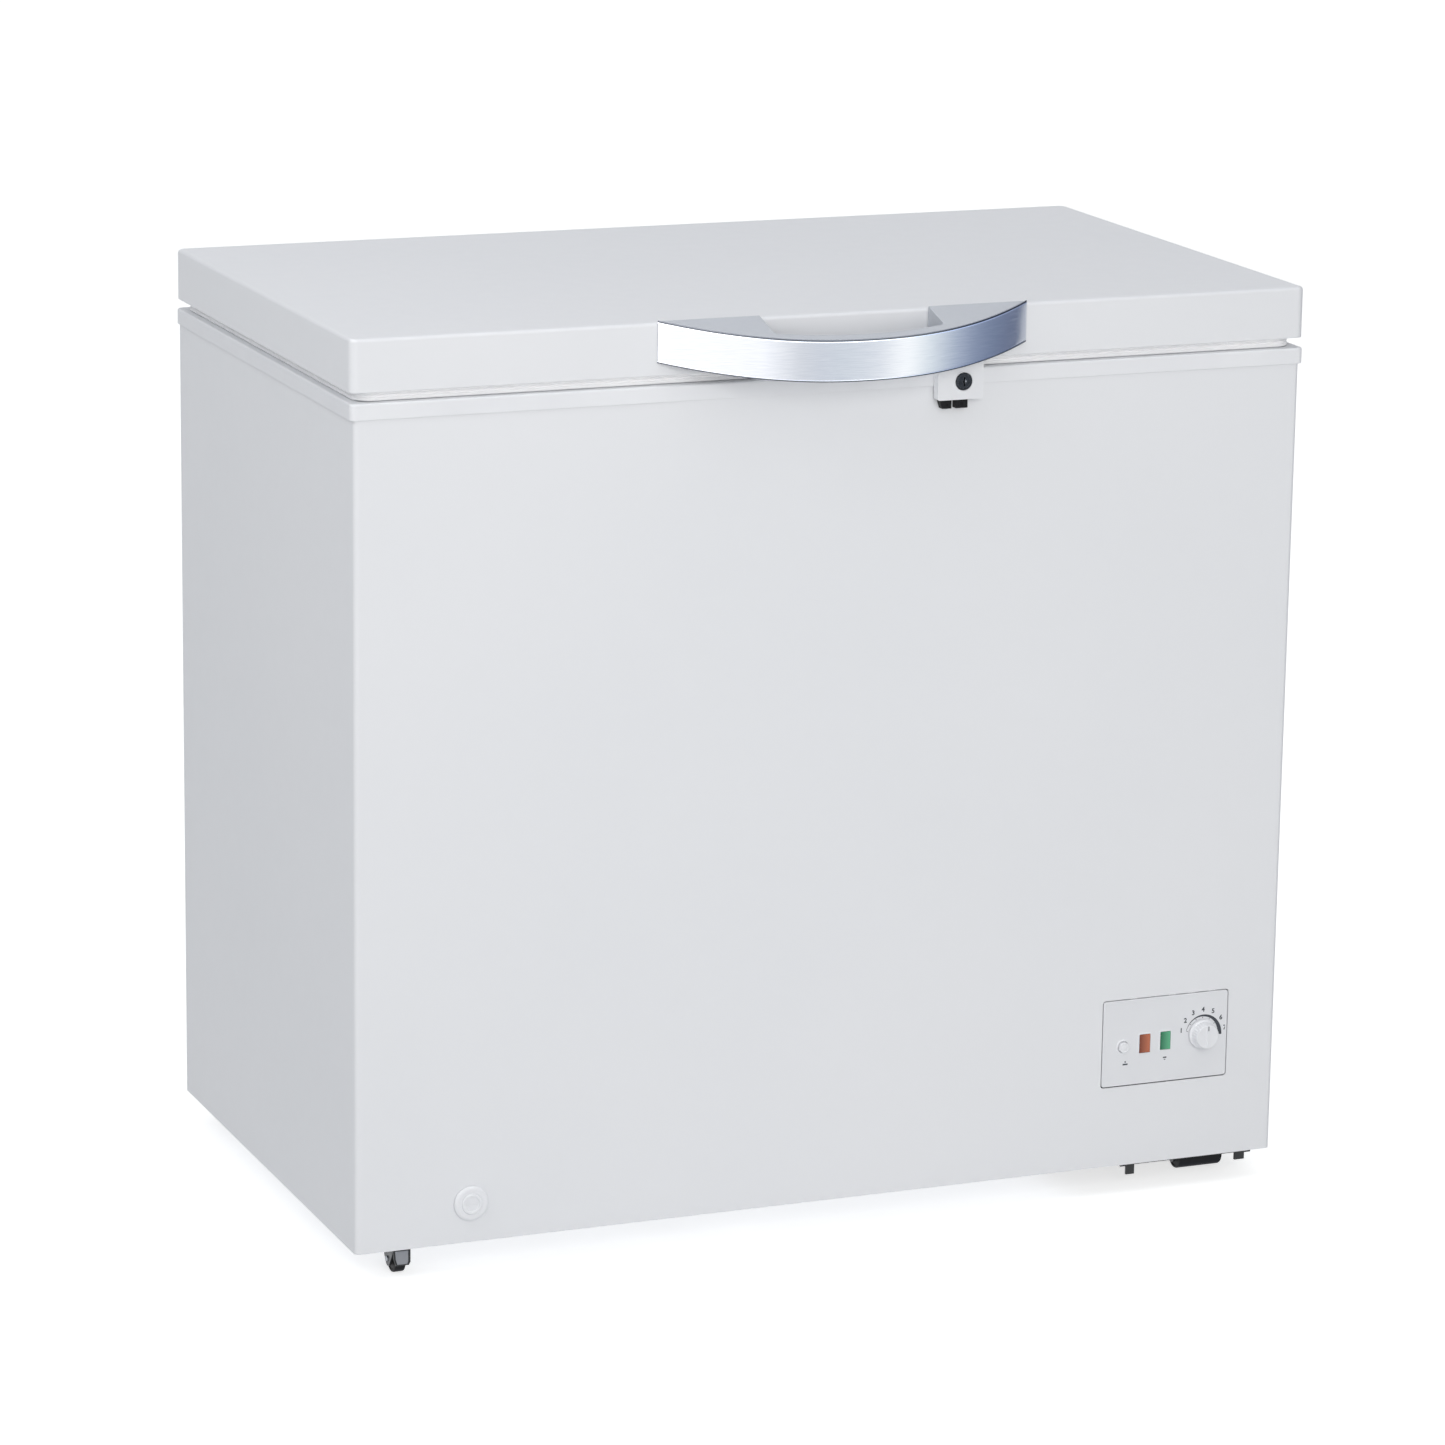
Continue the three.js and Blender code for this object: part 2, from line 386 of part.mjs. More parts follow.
put(lid, 'lid_foam', join(
  rbox(-463.2, 463.2, LID_YF + 1.8, LID_YB - 1.8, LID_Z0 + 2.4, LID_Z1 - 2.3, 6),
  rbox(-PAN_HX + 2.3, PAN_HX - 2.3, -PAN_HY + 2.3, PAN_HY - 2.3, PAN_Z + 2.3, LID_Z0 + 3, 19.7)), FOAM);
put(lid, 'lid_gasket', cut(
  rbox(-453, 453, -249.5, 249.5, RIM_Z1 + 0.3, LID_Z0 - 0.2, 12),
  rbox(-435, 435, -231.5, 231.5, RIM_Z1 - 1, LID_Z0 + 1, 6)), GASKET);

// ---------- bow handle ----------
const bow = (s) => [BOW_HX * s, BOW_Y - BOW_OUT * (1 - Math.abs(s) ** BOW_POW)];
const bowOffset = (s, d) => {
  const [x, y] = bow(s);
  const slope = (BOW_OUT * BOW_POW * Math.sign(s) * Math.abs(s) ** (BOW_POW - 1)) / BOW_HX;   // dy/dx
  const n = Math.hypot(1, slope);
  return [x - (slope / n) * d, y + d / n];
};
const BOW_N = 28;
const bowLine = (d) => { const o = []; for (let i = 0; i <= BOW_N; i++) o.push(bowOffset(-1 + (2 * i) / BOW_N, d)); return o; };
// the handle's top and underside are parallel planes that fall towards the front
const SLOPE = BOW_DROP / BOW_OUT;
const lean = (geo) => geo.applyMatrix4(new THREE.Matrix4().set(1, 0, 0, 0, 0, 1, 0, 0, 0, SLOPE, 1, -SLOPE * BOW_Y, 0, 0, 0, 1));
put(lid, 'handle_band', lean(prismZ(v2([...bowLine(0), ...bowLine(1.5).reverse()]), BOW_TOP - BOW_H, BOW_TOP)), CHROME);
{
  const edge = bowLine(1.85).filter(([, y]) => y < -262.6);
  const out = [...edge, [edge[edge.length - 1][0] + 1.2, -261.85], [edge[0][0] - 1.2, -261.85]];
  const grip = bowLine(12).filter(([x]) => Math.abs(x) < 78);
  const hole = [[-82, -250], [-82, grip[0][1] + 3.5], ...grip, [82, grip[0][1] + 3.5], [82, -250]];
  const wing = (s) => {
    const e = bowLine(6).filter(([x, y]) => s * x > 88 && y < -268);
    const q = s > 0 ? [[87, e[0][1]], ...e, [e[e.length - 1][0] + 3, -265.5], [87, -265.5]] : [[e[0][0] - 3, -265.5], ...e, [-87, e[e.length - 1][1]], [-87, -265.5]];
    return lean(prismZ(v2(q), BOW_TOP - BOW_H - 20, BOW_TOP - 4.5));
  };
  put(lid, 'handle_body', cut(
    lean(prismZ(v2(out), BOW_TOP - BOW_H + 0.4, BOW_TOP - 0.4)),
    lean(prismZ(v2(hole), BOW_TOP - BOW_H - 30, BOW_TOP + 30)), wing(-1), wing(1)), GREY_PLASTIC);
}

// ---------- key lock under the handle ----------
const LOCK_X = 114.5, LOCK_Z = 797.8;
put(lid, 'lock_housing', cut(
  prismY([[91, 781.2], [133, 781.2], [134, 784.2], [134, 826.0], [89, 826.0], [89, 784.2]], -272.0, LID_YF - G),
  box(91.2, 131.8, -269.8, -250, 770, 812), box(80, 140, -262.7, -250, 770, 815.5),
  cylY(LOCK_X, LOCK_Z, -280, -260, 8.35, 18)), WHITE_PLASTIC);
put(fittings, 'lock_cylinder', cut(join(
  cylY(LOCK_X, LOCK_Z, -273.6, -267.0, 8.0, 18),
  box(LOCK_X - 3.4, LOCK_X + 3.4, -267.2, -265.6, LOCK_Z - 15.2, LOCK_Z)),
  box(LOCK_X - 0.9, LOCK_X + 0.9, -275, -271.8, LOCK_Z - 4.2, LOCK_Z + 4.2)), BLACK_PLASTIC);

// ---------- storage basket, hung on the rim ----------
put(fittings, 'storage_basket', cut(
  join(rbox(166, 396, -195, 195, 600, 790, 4, 1),
    box(176, 386, -195, -192, 780, 811.6), box(176, 386, 192, 195, 780, 811.6),
    box(176, 386, -222, -192, RIM_Z1 + 0.5, 811.6), box(176, 386, 192, 222, RIM_Z1 + 0.5, 811.6)),
  box(169, 393, -192, 192, 603, 850)), WHITE_PLASTIC);

// ---------- rollers ----------
const wheel = (x0, x1, y) => new THREE.CylinderGeometry(WHEEL_R / Math.cos(Math.PI / 16), WHEEL_R / Math.cos(Math.PI / 16), x1 - x0, 16)
  .rotateY(Math.PI / 16).rotateZ(Math.PI / 2).translate((x0 + x1) / 2, y, WHEEL_R);
const roller = (name, xc, half, y, plate, tabs, reach = 19) => {
  put(cabinet, 'roller_axle_' + name, cylX(y, WHEEL_R, xc - half - 4.2, xc + half + 4.2, 2.6, 10), ZINC);
  put(fittings, 'roller_wheel_' + name, cut(wheel(xc - half, xc + half, y), cylX(y, WHEEL_R, xc - half - 5, xc + half + 5, 3.0, 10)), BLACK_PLASTIC);
  const cheek = [[y - 16, 27.4], [y - 16, 24], [y - 5.5, 6.6], [y + 5.5, 6.6], [y + 16, 24], [y + 16, 27.4]];
  put(cabinet, 'roller_bracket_' + name, cut(
    join(box(plate[0], plate[1], y - reach, y + 19, 27.2, BODY_Z0 - 0.4),
      prismX(cheek, xc - half - 3.0, xc - half - 0.8), prismX(cheek, xc + half + 0.8, xc + half + 3.0), ...tabs),
    cylX(y, WHEEL_R, xc - half - 5, xc + half + 5, 2.9, 10)), ZINC);
};
roller('front_left', -413.5, 5.4, -233, [-427.5, -399.5], []);
roller('rear_left', -413.5, 5.4, 233, [-427.5, -399.5], []);
// the front right bracket has a folded front flange that ends in two short tabs
roller('front_right', 411, 23, -204, [312, 455], [box(328, 446, -238, -236, 20.4, 27.4),
  box(314, 321, -238, -236, 19.5, 27.4), box(320, 329, -238, -236, 11, 27.4),
  box(436, 446.5, -238, -236, 13, 27.4), box(446, 453, -238, -236, 19.5, 27.4)], 34);
roller('rear_right', 411, 23, 205, [312, 455], []);

export default freezer;
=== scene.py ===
import math

import bmesh
import bpy
from mathutils import Matrix, Vector


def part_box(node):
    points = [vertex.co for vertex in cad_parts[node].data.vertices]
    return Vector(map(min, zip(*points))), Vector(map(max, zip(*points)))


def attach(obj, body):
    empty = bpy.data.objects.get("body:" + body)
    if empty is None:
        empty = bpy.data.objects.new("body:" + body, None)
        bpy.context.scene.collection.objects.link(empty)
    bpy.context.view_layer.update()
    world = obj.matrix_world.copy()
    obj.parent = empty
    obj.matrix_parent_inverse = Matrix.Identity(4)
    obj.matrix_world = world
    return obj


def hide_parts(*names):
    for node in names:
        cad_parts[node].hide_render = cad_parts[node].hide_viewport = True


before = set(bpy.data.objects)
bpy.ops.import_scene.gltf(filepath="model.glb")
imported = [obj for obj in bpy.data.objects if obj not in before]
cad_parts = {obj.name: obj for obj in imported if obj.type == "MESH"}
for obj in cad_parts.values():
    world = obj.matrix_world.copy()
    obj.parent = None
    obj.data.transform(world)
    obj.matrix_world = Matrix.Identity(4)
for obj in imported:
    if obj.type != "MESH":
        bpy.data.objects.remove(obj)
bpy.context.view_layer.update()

scene = bpy.context.scene
MM = 0.001
# the cabinet's own middle, in millimetres along Y, read from the lid's CAD box
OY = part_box("lid_outer_cap")[0].y / MM + 261.5


# --------------------------------------------------------------------------
# mesh helpers: points are millimetres about the cabinet's own middle
# --------------------------------------------------------------------------
def W(p):
    return Vector((p[0] * MM, (p[1] + OY) * MM, p[2] * MM))


def cad(node):
    """A CAD node's box in the same millimetres."""
    lo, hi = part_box(node)
    return (lo.x / MM, hi.x / MM, lo.y / MM - OY, hi.y / MM - OY, lo.z / MM, hi.z / MM)


def build(name, verts, faces, weld=1e-6):
    me = bpy.data.meshes.new(name)
    me.from_pydata([W(v) for v in verts], [], faces)
    bm = bmesh.new()
    bm.from_mesh(me)
    bmesh.ops.remove_doubles(bm, verts=bm.verts, dist=weld)
    bmesh.ops.recalc_face_normals(bm, faces=bm.faces)
    bm.to_mesh(me)
    bm.free()
    ob = bpy.data.objects.new(name, me)
    scene.collection.objects.link(ob)
    return ob


def rring(x0, x1, y0, y1, r, z, seg=8):
    """A rounded rectangle, anticlockwise, at height z."""
    r = max(r, 0.05)
    out = []
    for cx, cy, a0 in ((x1 - r, y1 - r, 0), (x0 + r, y1 - r, 90), (x0 + r, y0 + r, 180), (x1 - r, y0 + r, 270)):
        for i in range(seg + 1):
            a = math.radians(a0 + 90 * i / seg)
            out.append((cx + r * math.cos(a), cy + r * math.sin(a), z))
    return out


def to_xz(ring):
    """A ring in X, Y at height h becomes a ring in X, Z at y = h."""
    return [(x, h, y) for x, y, h in ring]


def loft(name, rings, loop=False, caps=True):
    n = len(rings[0])
    verts = [p for r in rings for p in r]
    faces = []
    m = len(rings)
    for i in range(m if loop else m - 1):
        a, b = i * n, ((i + 1) % m) * n
        for j in range(n):
            k = (j + 1) % n
            faces.append((a + j, a + k, b + k, b + j))
    if caps and not loop:
        faces.append(tuple(range(n)))
        faces.append(tuple((m - 1) * n + j for j in range(n)))
    return build(name, verts, faces)


def lathe(name, prof, centre, axis="Z", seg=48, wave=None):
    """A turned piece: [radius, height] pairs, from the axis to the axis. wave(i, angle) scales a radius."""
    rings = []
    verts, faces = [], []
    for i, (r, h) in enumerate(prof):
        if r < 1e-6:
            rings.append([len(verts)])
            verts.append((0.0, 0.0, h))
            continue
        ring = []
        for j in range(seg):
            a = 2 * math.pi * j / seg
            rr = r * (wave(i, a) if wave else 1.0)
            ring.append(len(verts))
            verts.append((rr * math.cos(a), rr * math.sin(a), h))
        rings.append(ring)
    for a, b in zip(rings, rings[1:]):
        for j in range(seg):
            k = (j + 1) % seg
            if len(a) == 1 and len(b) == 1:
                continue
            if len(a) == 1:
                faces.append((a[0], b[k], b[j]))
            elif len(b) == 1:
                faces.append((a[j], a[k], b[0]))
            else:
                faces.append((a[j], a[k], b[k], b[j]))
    turn = {"Z": lambda v: v, "-Y": lambda v: (v[0], -v[2], v[1]), "Y": lambda v: (v[0], v[2], -v[1]), "X": lambda v: (v[2], v[0], v[1])}[axis]
    return build(name, [tuple(c + d for c, d in zip(centre, turn(v))) for v in verts], faces)


def prism(name, outline, a, b, plane="XY"):
    """A closed outline pushed from a to b, square to its plane."""
    put = {"XY": lambda u, v, w: (u, v, w), "XZ": lambda u, v, w: (u, w, v), "YZ": lambda u, v, w: (w, u, v)}[plane]
    n = len(outline)
    verts = [put(u, v, a) for u, v in outline] + [put(u, v, b) for u, v in outline]
    faces = [(j, (j + 1) % n, n + (j + 1) % n, n + j) for j in range(n)]
    faces += [tuple(range(n)), tuple(range(n, 2 * n))]
    return build(name, verts, faces)


def block(name, x0, x1, y0, y1, z0, z1):
    return prism(name, [(x0, y0), (x1, y0), (x1, y1), (x0, y1)], z0, z1)


def rod(name, axis, c, a, b, r, seg=32):
    """A straight round bar from a to b along an axis, c being its place on the other two."""
    prof = [(0, a), (r, a), (r, b), (0, b)]
    if axis == "Z":
        return lathe(name, prof, (c[0], c[1], 0), "Z", seg)
    if axis == "X":
        return lathe(name, prof, (0, c[0], c[1]), "X", seg)
    return lathe(name, prof, (c[0], 0, c[1]), "Y", seg)


def bends(pts, r, seg=5):
    p = [Vector(q) for q in pts]
    out = [p[0]]
    for i in range(1, len(p) - 1):
        d1, d2 = p[i - 1] - p[i], p[i + 1] - p[i]
        k = min(r, d1.length * 0.49, d2.length * 0.49)
        a, b = p[i] + d1.normalized() * k, p[i] + d2.normalized() * k
        for j in range(seg + 1):
            t = j / seg
            out.append(a * (1 - t) ** 2 + p[i] * 2 * t * (1 - t) + b * t * t)
    out.append(p[-1])
    return out


def tube_data(points, r, sides=10, closed=False, hole=0.0):
    """Vertices and faces of a tube along points."""
    p = [Vector(q) for q in points]
    clean = [p[0]]
    for q in p[1:]:
        if (q - clean[-1]).length > 1e-4:
            clean.append(q)
    if closed and (clean[0] - clean[-1]).length < 1e-4:
        clean.pop()
    p = clean
    n = len(p)
    tan = []
    for i in range(n):
        if closed:
            t = (p[(i + 1) % n] - p[i]).normalized() + (p[i] - p[i - 1]).normalized()
        else:
            t = Vector((0, 0, 0))
            if i < n - 1:
                t += (p[i + 1] - p[i]).normalized()
            if i > 0:
                t += (p[i] - p[i - 1]).normalized()
        tan.append(t.normalized())
    ref = Vector((0, 0, 1)) if abs(tan[0].z) < 0.9 else Vector((1, 0, 0))
    nor = (ref - tan[0] * ref.dot(tan[0])).normalized()
    frames = [nor]
    for i in range(1, n):
        q = tan[i - 1].rotation_difference(tan[i])
        nor = q @ nor
        nor = (nor - tan[i] * nor.dot(tan[i])).normalized()
        frames.append(nor)
    if closed:
        q = tan[-1].rotation_difference(tan[0])
        last = q @ frames[-1]
        twist = math.atan2(last.cross(frames[0]).dot(tan[0]), last.dot(frames[0]))
        frames = [Matrix.Rotation(twist * i / n, 3, tan[i]) @ frames[i] for i in range(n)]
    verts, faces = [], []
    radii = [r] if not hole else [r, hole]
    for rad in radii:
        base = len(verts)
        for i in range(n):
            bi = tan[i].cross(frames[i])
            for s in range(sides):
                a = 2 * math.pi * s / sides
                verts.append(tuple(p[i] + (frames[i] * math.cos(a) + bi * math.sin(a)) * rad))
        for i in range(n if closed else n - 1):
            a, b = base + i * sides, base + ((i + 1) % n) * sides
            for s in range(sides):
                k = (s + 1) % sides
                faces.append((a + s, a + k, b + k, b + s))
    if not closed:
        if hole:
            h = n * sides
            for e in (0, (n - 1) * sides):
                for s in range(sides):
                    k = (s + 1) % sides
                    faces.append((e + s, e + k, h + e + k, h + e + s))
        else:
            faces.append(tuple(range(sides)))
            faces.append(tuple((n - 1) * sides + s for s in range(sides)))
    return verts, faces


def tube(name, points, r, sides=12, closed=False, hole=0.0):
    return build(name, *tube_data(points, r, sides, closed, hole))


def merged(name, parts):
    """Several (verts, faces) sets in one mesh."""
    verts, faces = [], []
    for v, f in parts:
        k = len(verts)
        verts += v
        faces += [tuple(k + i for i in face) for face in f]
    return build(name, verts, faces, weld=1e-8)


def baked(ob):
    dg = bpy.context.evaluated_depsgraph_get()
    me = bpy.data.meshes.new_from_object(ob.evaluated_get(dg))
    old = ob.data
    ob.modifiers.clear()
    ob.data = me
    bpy.data.meshes.remove(old)
    me.name = ob.name
    return ob


def drop(ob):
    me = ob.data
    bpy.data.objects.remove(ob)
    bpy.data.meshes.remove(me)


def boolean(base, others, op="DIFFERENCE"):
    for c in others:
        m = base.modifiers.new("cut", "BOOLEAN")
        m.operation, m.object, m.solver = op, c, "EXACT"
    bpy.context.view_layer.update()
    baked(base)
    for c in others:
        drop(c)
    return base


def weld_mesh(ob, dist=2e-6):
    bm = bmesh.new()
    bm.from_mesh(ob.data)
    bmesh.ops.remove_doubles(bm, verts=bm.verts, dist=dist)
    bmesh.ops.dissolve_degenerate(bm, edges=bm.edges, dist=dist)
    bm.to_mesh(ob.data)
    bm.free()
    return ob


def join_objects(name, obs):
    bm = bmesh.new()
    for o in obs:
        bm.from_mesh(o.data)
    me = bpy.data.meshes.new(name)
    bm.to_mesh(me)
    bm.free()
    for o in obs:
        drop(o)
    ob = bpy.data.objects.new(name, me)
    scene.collection.objects.link(ob)
    return ob


def edge_round(ob, width, seg=3, angle=35):
    b = ob.modifiers.new("edges", "BEVEL")
    b.width, b.segments, b.limit_method, b.angle_limit = width * MM, seg, "ANGLE", math.radians(angle)
    b.use_clamp_overlap = True
    b.miter_outer = "MITER_ARC"
    return b


def weighted(ob, keep=False):
    w = ob.modifiers.new("normals", "WEIGHTED_NORMAL")
    w.keep_sharp = keep
    w.weight = 80


def piece(ob, body, mat, reps=(), bevel=None, seg=3, angle=35, smooth=40):
    ob.data.materials.clear()
    ob.data.materials.append(mat)
    ob.data.shade_smooth()
    if bevel:
        edge_round(ob, bevel, seg, angle)
        weighted(ob)
    else:
        ob.data.set_sharp_from_angle(angle=math.radians(smooth))
        weighted(ob, keep=True)
    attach(ob, body)
    if reps:
        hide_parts(*reps)
    return ob


def carry(node, mat, bevel=None, seg=2, angle=35):
    """A CAD node that stays, with a better finish and softened edges."""
    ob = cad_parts[node]
    ob.data.materials.clear()
    ob.data.materials.append(mat)
    w = ob.modifiers.new("weld", "WELD")
    w.merge_threshold = 1e-5
    d = ob.modifiers.new("flat", "DECIMATE")
    d.decimate_type, d.angle_limit = "DISSOLVE", math.radians(0.6)
    if bevel:
        edge_round(ob, bevel, seg, angle)
        weighted(ob)
    else:
        weighted(ob, keep=True)
    return ob


# --------------------------------------------------------------------------
# materials
# --------------------------------------------------------------------------
def srgb(r, g, b):
    def lin(c):
        c /= 255.0
        return c / 12.92 if c <= 0.04045 else ((c + 0.055) / 1.055) ** 2.4
    return (lin(r), lin(g), lin(b), 1.0)


class Mat:
    """A small builder of procedural node materials, in object space and metres."""

    def __init__(self, name, rough=0.4, metal=0.0, spec=0.5, ior=1.5, coat=0.0, coat_rough=0.1, sss=0.0, aniso=0.0):
        self.m = bpy.data.materials.new(name)
        self.m.use_nodes = True
        self.t = self.m.node_tree
        self.n, self.l = self.t.nodes, self.t.links
        self.b = self.n["Principled BSDF"]
        self.b.inputs["Metallic"].default_value = metal
        self.b.inputs["Specular IOR Level"].default_value = spec
        self.b.inputs["IOR"].default_value = ior
        self.b.inputs["Coat Weight"].default_value = coat
        self.b.inputs["Coat Roughness"].default_value = coat_rough
        self.b.inputs["Anisotropic"].default_value = aniso
        self.b.inputs["Roughness"].default_value = rough
        self.co = self.n.new("ShaderNodeTexCoord").outputs["Object"]
        self.normal = None

    def stretch(self, scale):
        mp = self.n.new("ShaderNodeMapping")
        mp.inputs["Scale"].default_value = scale
        self.l.new(self.co, mp.inputs["Vector"])
        return mp.outputs["Vector"]

    def noise(self, scale, detail=2.0, rough=0.5, vec=None, w=0.0):
        t = self.n.new("ShaderNodeTexNoise")
        t.inputs["Scale"].default_value = scale
        t.inputs["Detail"].default_value = detail
        t.inputs["Roughness"].default_value = rough
        t.inputs["Distortion"].default_value = w
        self.l.new(vec or self.co, t.inputs["Vector"])
        return t.outputs["Fac"]

    def voronoi(self, scale, out="Distance", feature="F1", vec=None, rand=1.0):
        t = self.n.new("ShaderNodeTexVoronoi")
        t.feature = feature
        t.inputs["Scale"].default_value = scale
        t.inputs["Randomness"].default_value = rand
        self.l.new(vec or self.co, t.inputs["Vector"])
        return t.outputs[out]

    def span(self, fac, lo, hi, a=0.3, b=0.7):
        r = self.n.new("ShaderNodeMapRange")
        r.inputs["From Min"].default_value, r.inputs["From Max"].default_value = a, b
        r.inputs["To Min"].default_value, r.inputs["To Max"].default_value = lo, hi
        self.l.new(fac, r.inputs["Value"])
        return r.outputs["Result"]

    def mix(self, fac, c1, c2):
        x = self.n.new("ShaderNodeMix")
        x.data_type = "RGBA"
        x.inputs["A"].default_value, x.inputs["B"].default_value = (c1 if not hasattr(c1, "links") else (1, 1, 1, 1)), (c2 if not hasattr(c2, "links") else (1, 1, 1, 1))
        if hasattr(c1, "links"):
            self.l.new(c1, x.inputs["A"])
        if hasattr(c2, "links"):
            self.l.new(c2, x.inputs["B"])
        self.l.new(fac, x.inputs["Factor"])
        return x.outputs["Result"]

    def colour(self, out):
        if hasattr(out, "links"):
            self.l.new(out, self.b.inputs["Base Color"])
        else:
            self.b.inputs["Base Color"].default_value = out

    def rough(self, out):
        self.l.new(out, self.b.inputs["Roughness"])

    def bump(self, height, dist, strength=1.0):
        """dist in millimetres."""
        x = self.n.new("ShaderNodeBump")
        x.inputs["Distance"].default_value = dist * MM
        x.inputs["Strength"].default_value = strength
        self.l.new(height, x.inputs["Height"])
        if self.normal is not None:
            self.l.new(self.normal, x.inputs["Normal"])
        self.normal = x.outputs["Normal"]
        self.l.new(self.normal, self.b.inputs["Normal"])
        return self

    def edge(self, base, wear_and_painted_light, size=1.2, amount=0.5):
        """Lighter or darker along convex edges, from the mesh's own shape: worn edges on the black parts, a painted
        highlight along the lock metal's edges, darker edges on the web.
        """
        bv = self.n.new("ShaderNodeBevel")
        bv.samples = 4
        bv.inputs["Radius"].default_value = size * MM
        ge = self.n.new("ShaderNodeNewGeometry")
        dt = self.n.new("ShaderNodeVectorMath")
        dt.operation = "DOT_PRODUCT"
        self.l.new(bv.outputs["Normal"], dt.inputs[0])
        self.l.new(ge.outputs["Normal"], dt.inputs[1])
        f = self.span(dt.outputs["Value"], amount, 0.0, 0.75, 0.99)
        return self.mix(f, base, wear_and_painted_light)


def enamel(name, c, rough=0.36, coat=0.2):
    m = Mat(name, rough=rough, coat=coat, coat_rough=0.28)
    big = m.noise(2.2, 2.0)
    r, g, b, _ = c
    m.colour(m.mix(m.span(big, 0.0, 1.0), (r * 0.985, g * 0.988, b * 0.99, 1), (min(1, r * 1.012), min(1, g * 1.01), min(1, b * 1.008), 1)))
    m.rough(m.span(m.noise(60.0, 3.0), rough - 0.03, rough + 0.05))
    m.bump(m.noise(330.0, 2.0, 0.5), 0.010)       # orange peel of stoved paint
    m.bump(m.noise(9.0, 1.0, 0.4), 0.12)          # the sheet's slight waviness
    return m.m


def moulded(name, c, rough=0.45, grain=0.018, scale=1500.0, edge=None):
    m = Mat(name, rough=rough, coat=0.0)
    r, g, b, _ = c
    base = m.mix(m.span(m.noise(14.0, 3.0), 0.0, 1.0), (r * 0.975, g * 0.975, b * 0.98, 1), (min(1, r * 1.015), min(1, g * 1.015), min(1, b * 1.015), 1))
    if edge:
        base = m.edge(base, edge, 0.8, 0.45)
    m.colour(base)
    m.rough(m.span(m.noise(220.0, 2.0), rough - 0.05, rough + 0.07))
    m.bump(m.noise(scale, 2.0, 0.6), grain)
    return m.m


WHITE = srgb(230, 231, 234)
M_ENAMEL = enamel("white_enamel", WHITE)
M_LID = enamel("white_enamel_lid", srgb(230, 231, 234), rough=0.36, coat=0.2)
M_PLASTIC = moulded("white_moulded_plastic", srgb(233, 234, 237), 0.40, 0.006, 500.0)
M_PANEL = moulded("panel_plastic", srgb(228, 229, 232), 0.42, 0.006, 500.0)
M_RIM = moulded("white_rim_plastic", srgb(232, 233, 236), 0.40, 0.004, 400.0)
M_GREY = moulded("grey_moulded_plastic", srgb(182, 186, 193), 0.36, 0.006, 500.0)
M_TUBE = moulded("grey_hose_plastic", srgb(150, 153, 158), 0.5, 0.02, 900.0)
M_BLACK = moulded("black_moulded_plastic", srgb(15, 15, 17), 0.5, 0.02, 1400.0, edge=srgb(38, 39, 42))
M_BLACK.node_tree.nodes["Principled BSDF"].inputs["Specular IOR Level"].default_value = 0.25
M_WEB = moulded("grey_passivated_web", srgb(150, 152, 158), 0.5, 0.01, 500.0, edge=srgb(60, 61, 66))
M_MARK = moulded("printed_grey_ink", srgb(62, 65, 71), 0.6, 0.004, 600.0)
M_GASKET = moulded("white_gasket_vinyl", srgb(250, 250, 251), 0.52, 0.008, 400.0)
M_PRESSED = moulded("white_thermoformed_sheet", srgb(233, 235, 237), 0.30, 0.016, 420.0)


def rubber():
    m = Mat("black_rubber", rough=0.72, spec=0.35)
    dust = m.span(m.noise(45.0, 5.0, 0.6), 0.0, 0.55, 0.45, 0.75)
    m.colour(m.mix(dust, srgb(26, 26, 28), srgb(62, 61, 60)))
    m.rough(m.span(m.noise(160.0, 3.0), 0.62, 0.85))
    m.bump(m.noise(900.0, 3.0, 0.6), 0.03)
    return m.m


def zinc():
    m = Mat("zinc_plated_steel", rough=0.36, metal=1.0)
    cells = m.voronoi(70.0, "Color")
    sep = m.n.new("ShaderNodeSeparateColor")
    m.l.new(cells, sep.inputs["Color"])
    spangle = m.span(sep.outputs["Red"], 0.0, 1.0, 0.0, 1.0)
    base = m.mix(spangle, srgb(158, 162, 168), srgb(190, 193, 198))
    m.colour(m.mix(m.span(m.noise(30.0, 4.0), 0.0, 0.5, 0.5, 0.8), base, srgb(150, 149, 146)))
    m.rough(m.span(sep.outputs["Green"], 0.28, 0.46, 0.0, 1.0))
    m.bump(m.noise(420.0, 3.0, 0.6), 0.012)
    return m.m


BAND_LOW, BAND_HIGH, BAND_SLOPE, BAND_Y = 829.1, 866.9, 16.4 / 56.9, -263.2


